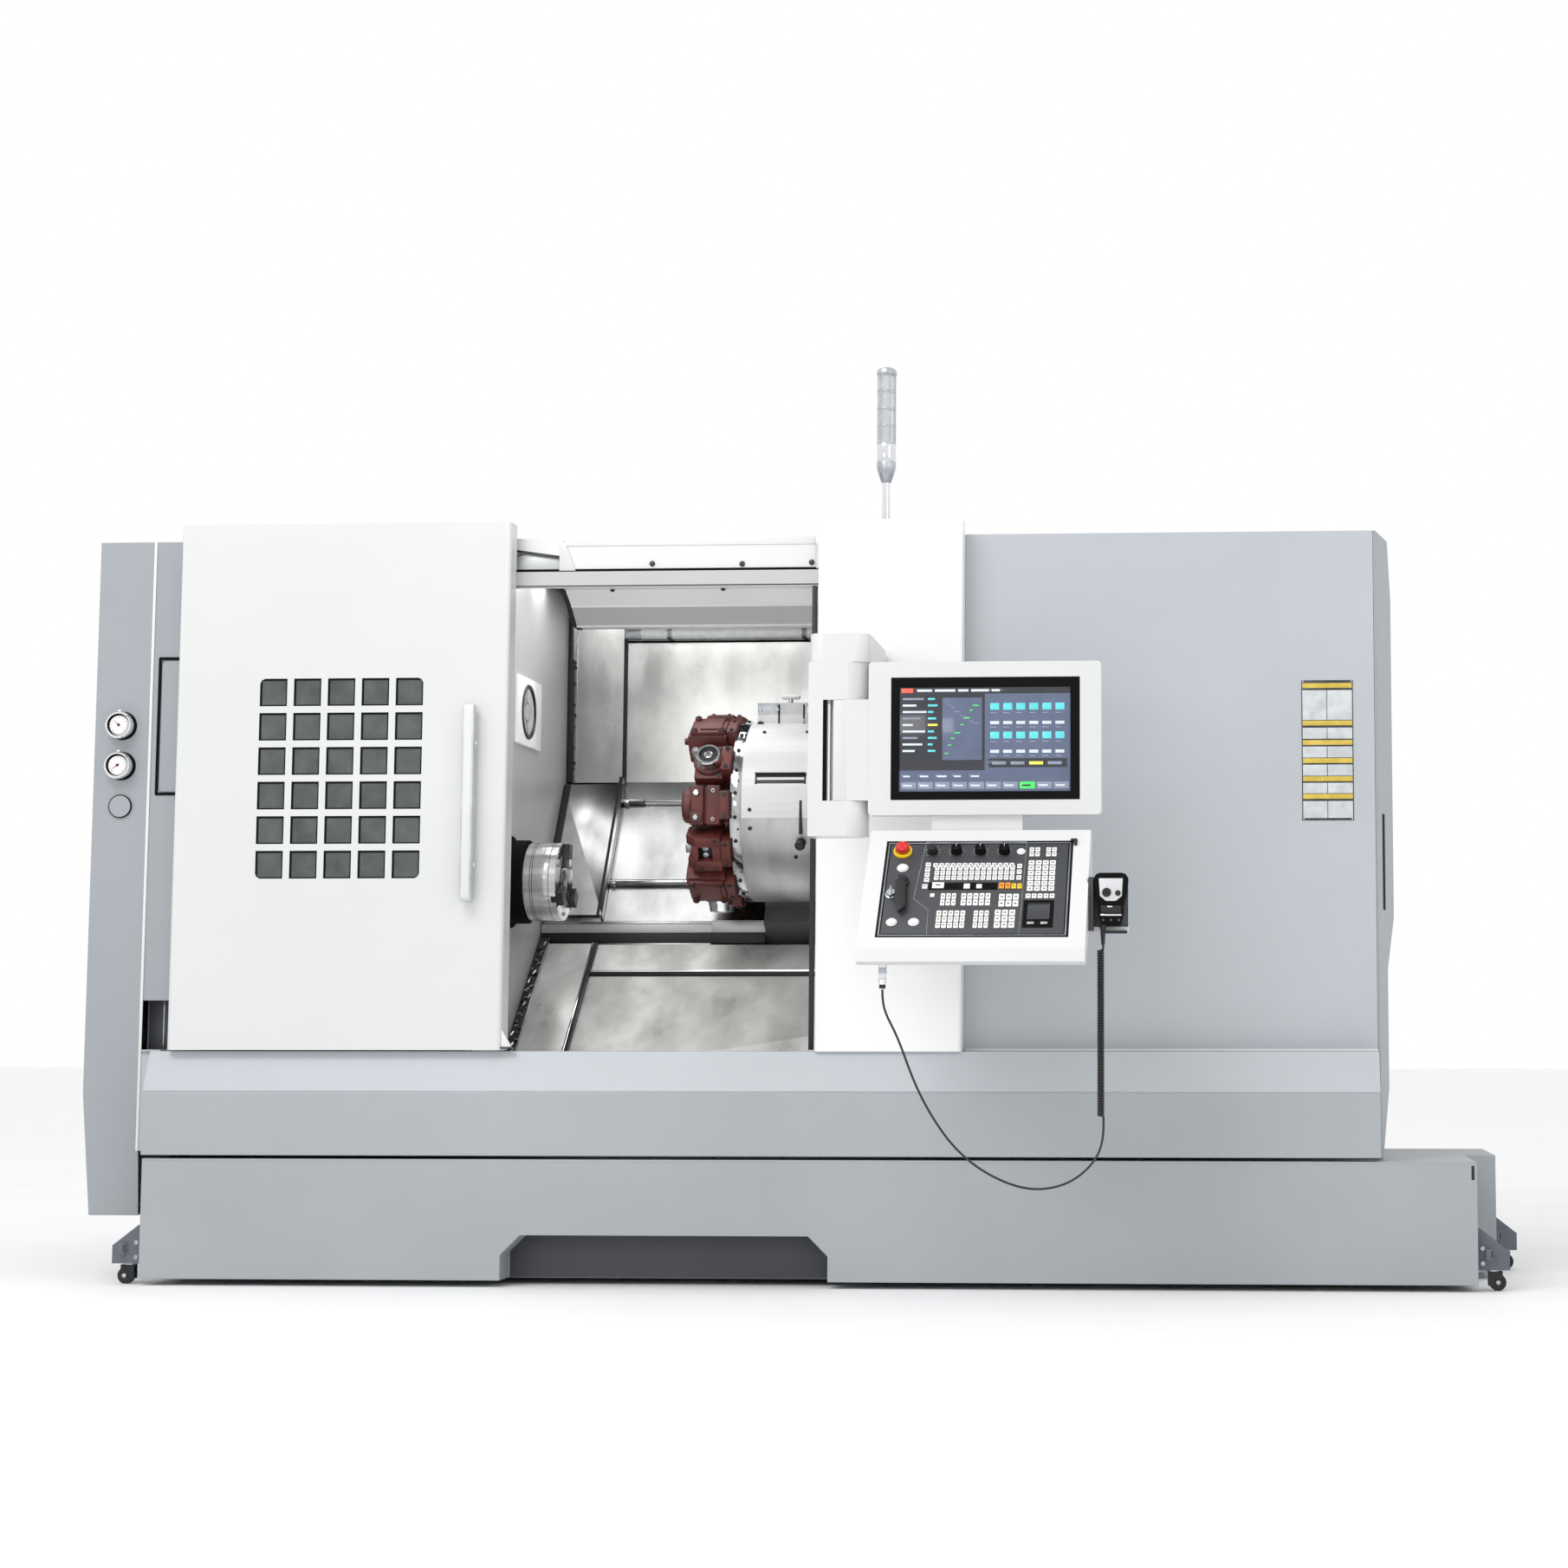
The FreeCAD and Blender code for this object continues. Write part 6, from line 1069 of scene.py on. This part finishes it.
rim = Piece("disc_screws", "turret")
for place, out in round_disc(-253, 299, 24, 7.5):
    rim.screw(place, out, 6.5, black_plastic)
disc_face = [(0, 172), (5, 170), (5, 150), (12, 146), (12, 60), (20, 56), (20, 0)]
rim.turned((-270, TURRET_Y, TURRET_Z), LEFT, disc_face, ground_steel, 64)
for place, out in round_disc(-244, 298.5, 12, 15):
    rim.pin(place, out, 4, 2, dark_steel, 14)
for place, out in round_disc(-282, 104, 8, 22.5):
    rim.screw(place, LEFT, 10, zinc)
rim.done()

# %% Kinds of holder
STATIONS, FACE = 12, -270
NARROW, BROAD, FLARE = 48, 64, 256
OUT = BACK
castings = Piece("holder_castings", "turret")


def lump(x, y, z, wide, deep, high, soft=3, material=cast_red):
    """A block of the casting, with x counted from the disc's face."""
    castings.block((FACE + x, y, z), (wide, deep, high), material, soft)


def boss(x, y, z, outline, material, steps, way=OUT):
    """A turned boss or fitting of the casting."""
    castings.turned((FACE + x, y, z), way, outline, material, steps)


def bolt(x, y, z, radius, way=OUT, material=dark_steel):
    """A cap screw in the casting."""
    castings.screw((FACE + x, y, z), way, radius, material)


def wedge(start, long, low, top, trim=0):
    """A casting's body that broadens outwards, from a distance off the disc's face."""
    narrow, broad = NARROW - trim, BROAD - trim
    half = [(low, narrow), (FLARE, broad), (top, broad)]
    corners = [(FACE - start, y, -z) for y, z in half] + [(FACE - start, y, z) for y, z in reversed(half)]
    castings.profile(corners, (-long, 0, 0), cast_red, 4)


def foot():
    """The flange that bolts a holder to the disc."""
    lump(-34, 188, -47, 34, 128, 94, 5)
    for z in (-36, 36):
        bolt(-17, 316, z, 7)
        bolt(-34, 206, z, 6, LEFT)


def lidded():
    """A block with a bolted lid, ears at its corners and a stub bar."""
    wedge(30, 128, 204, 306)
    lump(-150, 304, -56, 116, 14, 112, 4)
    lump(-120, 316, -40, 72, 8, 80)
    for x in (-138, -46):
        for z in (-46, 46):
            boss(x, 316, z, [(0, 12), (8, 11), (9, 9)], cast_red, 20)
            bolt(x, 323, z, 7)
    lump(-160, 236, -14, 12, 60, 28, 3, black_plastic)
    boss(-152, 272, 30, [(0, 15), (8, 15), (10, 12), (22, 11), (23, 8), (23, 0)], cast_red, 24, LEFT)
    boss(-150, 250, -34, [(0, 9), (10, 9), (12, 6), (12, 0)], dark_steel, 6, LEFT)


def driven():
    """A driven head: a worn steel flange round a dark bore that points outwards."""
    wedge(28, 92, 200, 288)
    for y, steps, material, outline in (
            (284, 40, cast_red, [(0, 54), (10, 54), (16, 50), (16, 0)]),
            (298, 48, chrome, [(0, 45), (10, 45), (14, 43), (34, 40), (36, 38), (36, 31), (30, 30), (30, 0)]),
            (326, 40, black_plastic, [(0, 29.8), (5, 29.5), (6, 26), (3, 24), (3, 0)]),
            (328, 6, chrome, [(0, 15), (4, 15), (6, 12), (6, 5), (1, 4), (1, 0)])):
        boss(-74, y, 0, outline, material, steps)
    boss(-126, 262, -44, [(0, 14), (30, 14), (36, 11), (36, 6), (30, 5), (30, 0)], chrome, 24)
    boss(-120, 240, -30, [(0, 6), (46, 6), (48, 4)], zinc, 14, (0.3, 1, 0.5))
    lump(-126, 214, 6, 8, 56, 44)
    for z in (-52, 52):
        bolt(-40, 288, z, 6)


def ribbed():
    """A boring bar box with two upright fields, a nut and a round cheek at its free end."""
    for start, long, top, trim in ((30, 44, 316, 0), (84, 46, 308, 0), (70, 18, 296, 5)):
        wedge(start, long, 204, top, trim)
    boss(-128, 258, 0, [(0, 56), (20, 56), (28, 48), (28, 26), (14, 24), (14, 0)], cast_red, 36, LEFT)
    boss(-142, 258, 0, [(0, 22), (12, 22), (14, 19), (14, 0)], black_plastic, 28, LEFT)
    lump(-128, 300, 22, 40, 16, 34)
    for y, z, material in ((314, 40, zinc), (306, -40, chrome)):
        boss(-108, y, z, [(0, 10), (8, 10), (10, 8), (10, 0)], material, 6)
    for z in (-46, 46):
        bolt(-52, 314, z, 7, OUT, zinc)


def slotted():
    """A clamp with a wedge: a framed slot with two screws in it and a bevelled nose."""
    cheek = [(-30, 204), (-126, 204), (-146, 236), (-146, 290), (-112, 320), (-30, 320)]
    for z in (-60, 24):
        castings.profile([(FACE + x, y, z) for x, y in cheek], (0, 0, 36), cast_red, 5)
    lump(-122, 204, -28, 94, 84, 56)
    lump(-128, 300, -30, 24, 20, 60, 4)
    lump(-60, 296, -30, 28, 22, 60, 4)
    lump(-106, 286, -24, 46, 6, 48, 2, black_plastic)
    for z in (-12, 12):
        boss(-84, 290, z, [(0, 10), (9, 10), (10, 8), (10, 4), (4, 4), (4, 0)], zinc, 24)
    lump(-154, 238, -16, 26, 36, 32, 3, zinc)
    for x, z in ((-48, -50), (-48, 50), (-100, 50)):
        bolt(x, 319, z, 6)


# %% Set the holders round the disc
KINDS = (slotted, lidded, driven, ribbed)
TOP_STATION = 3
for k in range(STATIONS):
    station = Matrix.Rotation(2 * math.pi * k / STATIONS, 4, "X")
    castings.place = WORLD @ Matrix.Translation((0, TURRET_Y, TURRET_Z)) @ station
    foot()
    KINDS[(k - TOP_STATION) % len(KINDS)]()
castings = castings.done()
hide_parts("tool_holders")

# %% [markdown]
# ## Tank and casters
# The coolant tank rolls out on four small casters under dark folded brackets. The brackets get a returned edge and
# bolts, the wheels a hub and a tyre with rounded shoulders, and the tank a drain plug and folded end seams.

# %% Caster brackets, forks and wheels
CASTERS = ((1, -2028, 70, -1), (2, -2028, 830, -1), (3, 2120, 70, 1), (4, 2215, 830, 1))
WHEEL_R, TRAIL = 25, 14
brackets = Piece("bracket_trim", "tank")
for k, x, y, side in CASTERS:
    near, wheel_x = y - 52, x + side * TRAIL
    brackets.blocks(
        (x - 24, near - 1.5, 92, 22, 4, 34, bracket_grey, 2), (x - 8, near - 2, 100, 4, 4, 22, black_plastic, 1))
    for z in (128, 84):
        brackets.screw((x - side * 34, near + 1, z), FRONT, 7, zinc)
    fork = Piece(f"fork_trim_{k}", f"fork_{k}")
    wheel = Piece(f"wheel_trim_{k}", f"wheel_{k}")
    for way, face in ((FRONT, -1), (BACK, 1)):
        fork.turned((wheel_x, y + face * 19, WHEEL_R), way, [(0, 7), (3, 7), (4, 5), (4, 0)], zinc, 6)
        wheel.turned((wheel_x, y + face * 8, WHEEL_R), way,
                     [(0, 15), (2.6, 14.6), (3, 12), (2, 9), (3.4, 6), (3.4, 4.4)], panel_plastic, 28)
    fork.turned((x, y, 60), UP, [(-2, 19), (2.5, 19), (2.8, 17)], zinc, 32)
    fork.done()
    wheel.done()
brackets.done()

# %% Tank seams and drain
tank = Piece("tank_trim", "tank")
tank.blocks(
    # The dark sheet at the back of the toe recess is painted shade.
    (2055, -1.2, 330, 9, 3, 42, black_plastic, 1.2), (-862, 108.6, 22, 1000, 1.2, 150, recess_shade_grey, 0.8),
    (-1979, -0.9, 376, 4050, 2.4, 6, tank_grey, 1))
tank.turned((2071, 200, 60), RIGHT, [(0, 20), (5, 20), (7, 17), (7, 11), (18, 11), (20, 9), (20, 0)], zinc, 28)
for y in (70, 430, 790):
    tank.screw((2071, y, 300), RIGHT, 8, zinc)
    tank.screw((-1979, y, 300), LEFT, 8, zinc)
tank.turned((2071, 640, 260), RIGHT, [(0, 34), (4, 34), (4, 30), (2, 29), (2, 0)], zinc, 36)
tank.done()

# %% [markdown]
# ## Signal tower
# The lamp column is clear plastic with ribs inside and a silver base and cap, unlit, so it looks like pale glass.
# The column is turned in rings: thin walls and inner rods give the glass something to bend.

# %% Signal tower
TOWER_X, TOWER_Y = 242, 420
tower = Piece("tower_parts", "machine")
for z, shade, steps, outline in (
        (2310, zinc, 40, [(0, 34), (4, 34), (5, 31), (18, 30), (22, 26), (22, 14)]),
        (2331, chrome, 32, [(0, 13), (202, 13)]),
        (2332, zinc, 32, [(0, 18), (16, 18), (18, 15), (18, 13)]),
        (2530, zinc, 40, [(0, 14), (4, 17), (30, 26), (44, 30), (52, 31), (62, 31.4), (66, 31)]),
        (2596, chrome, 40, [(0, 30), (2, 31), (56, 31), (60, 30)]),
        (2656, lens, 40, [(0, 30.6), (230, 30.6)]),
        (2656, chrome, 24, [(0, 10), (230, 10)]),
        (2884, zinc, 40, [(0, 31.2), (4, 33), (8, 33), (18, 29), (23, 18), (24, 0)])):
    tower.turned((TOWER_X, TOWER_Y, z), UP, outline, shade, steps)
for k in range(4):
    tower.turned((TOWER_X, TOWER_Y, 2656 + k * 57.5), UP, [(0, 28), (0, 31.2), (3, 31.2), (3, 28)], zinc, 40)
for k in range(6):
    tower.pin(Vector((TOWER_X, TOWER_Y, 2658)) + spoke(60 * k, RIGHT, BACK) * 22, UP, 2.4, 226, zinc, 10)
tower = tower.done()
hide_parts("signal_tower")

# %% [markdown]
# ## Label strip, grip and edges
# On the right front cover a pale riveted plate stands where such machines carry their notices; here it is left
# plain, with blank yellow bars between blank fields. The end cover has two dark slots as grips. The lower cover
# gets a lit and a shaded copy of one paint: its upright face is painted darker as painted shade, and a thin sheet
# in the lighter cover paint lies on its slope as painted light.

# %% Blank plate
label_yellow = finish("label_yellow", (216, 190, 84), (196, 168, 62), (0.36, 0.48), drift=40)
label_grey = finish("label_grey", (206, 210, 212), (184, 188, 191), (0.36, 0.48), drift=30)
label = Piece("blank_plate", "machine")
label.block((1566, 128.4, 1412), (158, 2.2, 432), dark_steel, 0.8)
for z in (1820, 1704, 1644, 1588, 1532, 1478):
    label.block((1569, 127.8, z), (152, 1.2, 15), label_yellow, 0.4)
for z, high in ((1721, 92), (1663, 34), (1605, 34), (1549, 34), (1495, 32), (1419, 52)):
    for x, wide in ((1569, 74), (1645, 76)):
        label.block((x, 127.9, z), (wide, 1, high), label_grey, 0.4)
for z in (1416, 1840):
    for x in (1571, 1719):
        label.turned((x, 128, z), FRONT, [(0, 3), (1, 2.6), (1.6, 0)], zinc, 16)
label.done()

# %% Pale edges and grips
edges = Piece("cover_edges", "machine")
edges.block((530, 126.5, 708), (1260, 5, 8), gloss_white, 1.6)
SHEET_LEFT, SHEET_LONG, GRIP_LOW, GRIP_HIGH = -1984, 3773, 1141, 296
# A thin sheet in the lighter cover paint over the lower cover's slope: painted light, against the darker paint below.
lit_slope_sheet = [(1.5, 588), (0.9, 588), (53.3, 708), (54, 708)]
edges.profile([(SHEET_LEFT, y, z) for y, z in lit_slope_sheet], (SHEET_LONG, 0, 0), cover_grey, 0)
edges.block((1853, 462, GRIP_LOW), (3, 56, GRIP_HIGH), black_plastic, 1)
grip = [(1812.9, 205), (1821.8, 245), (1823.3, 244.8), (1814.4, 204.8)]
edges.profile([(x, y, GRIP_LOW) for x, y in grip], (0, 0, GRIP_HIGH), matt_black, 0)
edges.done()

# %% [markdown]
# ## Back and roof
# The electrical cabinet has louvres in its side and latches on its door; the rear sheet is bolted along its edges,
# and the roof carries four lifting eyes. Only the back view shows them, but a machine for reuse needs its back.

# %% Rear details
REAR_Y = 2149
rear = Piece("rear_details", "machine")
for k in range(12):
    for z in (760, 2240):
        rear.screw((-1880 + k * 320, REAR_Y + 1, z), BACK, 9, zinc)
for x in (-1200, -400):
    rear.block((x - 2, REAR_Y, 720), (5, 4, 1560), rubber, 1.2)
for k in range(10):
    rear.block((-1760, REAR_Y - 2, 1500 + k * 34), (380, 10, 12), cover_grey, 4)
for z in (860, 1640):
    for k in range(9):
        rear.block((1397, 2190, z + k * 32), (9, 170, 12), cover_grey, 4)
rear.turned((-700, REAR_Y, 900), BACK, [(0, 60), (8, 60), (10, 55), (10, 46), (4, 44), (4, 0)], zinc, 40)
rear.done()
roof = Piece("lifting_eyes", "machine")
EYE_R, EYE_Z, BENDS = 22, 2350, 16
for x, y in ((-1700, 700), (-1700, 1900), (1500, 700), (1500, 1900)):
    roof.turned((x, y, ROOF_TOP), UP, [(0, 26), (6, 26), (8, 22), (8, 12), (22, 11)], zinc, 28)
    eye = [Vector((x, y, EYE_Z)) + spoke(360 * k / BENDS, RIGHT, UP) * EYE_R for k in range(BENDS + 1)]
    for start, end in zip(eye, eye[1:]):
        roof.turned(start, end - start, [(0, 7), ((end - start).length, 7)], zinc, 12)
roof.done()
leaf = Piece("cabinet_leaf_trim", "cabinet_leaf")
for z in (900, 1400, 1900):
    leaf.block((1399, 2402, z - 30), (9, 16, 60), black_plastic, 2)
    leaf.turned((1407, 2410, z), RIGHT, [(0, 7), (3, 7), (4, 5), (4, 2), (1, 2), (1, 0)], chrome, 20)
leaf.block((1399, 2401.5, 720), (2, 4, 1360), rubber, 0.8)
leaf.done()

# %% Gear inside the cabinet
gear = Piece("cabinet_gear", "machine")
PLATE_Y = 2164
gear.block((240, PLATE_Y - 3.5, 740), (1120, 4, 1320), zinc, 1)
for row, z in enumerate((1900, 1640, 1380, 1120)):
    gear.blocks((270, PLATE_Y, z - 80, 1060, 42, 46, label_grey, 3), (280, PLATE_Y, z + 28, 1040, 9, 34, zinc, 1))
    for k in range(12 - row):
        size = (44 + 14 * ((k + row) % 3), 60 + 12 * (k % 2), 92)
        gear.block((290 + k * 86, 2172, z), size, (black_plastic, panel_plastic, white_plastic)[(k + row) % 3], 3)
for k, shade in enumerate((panel_plastic, white_plastic, panel_plastic)):
    gear.block((290 + k * 350, PLATE_Y, 780), (280, 120, 210), shade, 5)
gear.done()
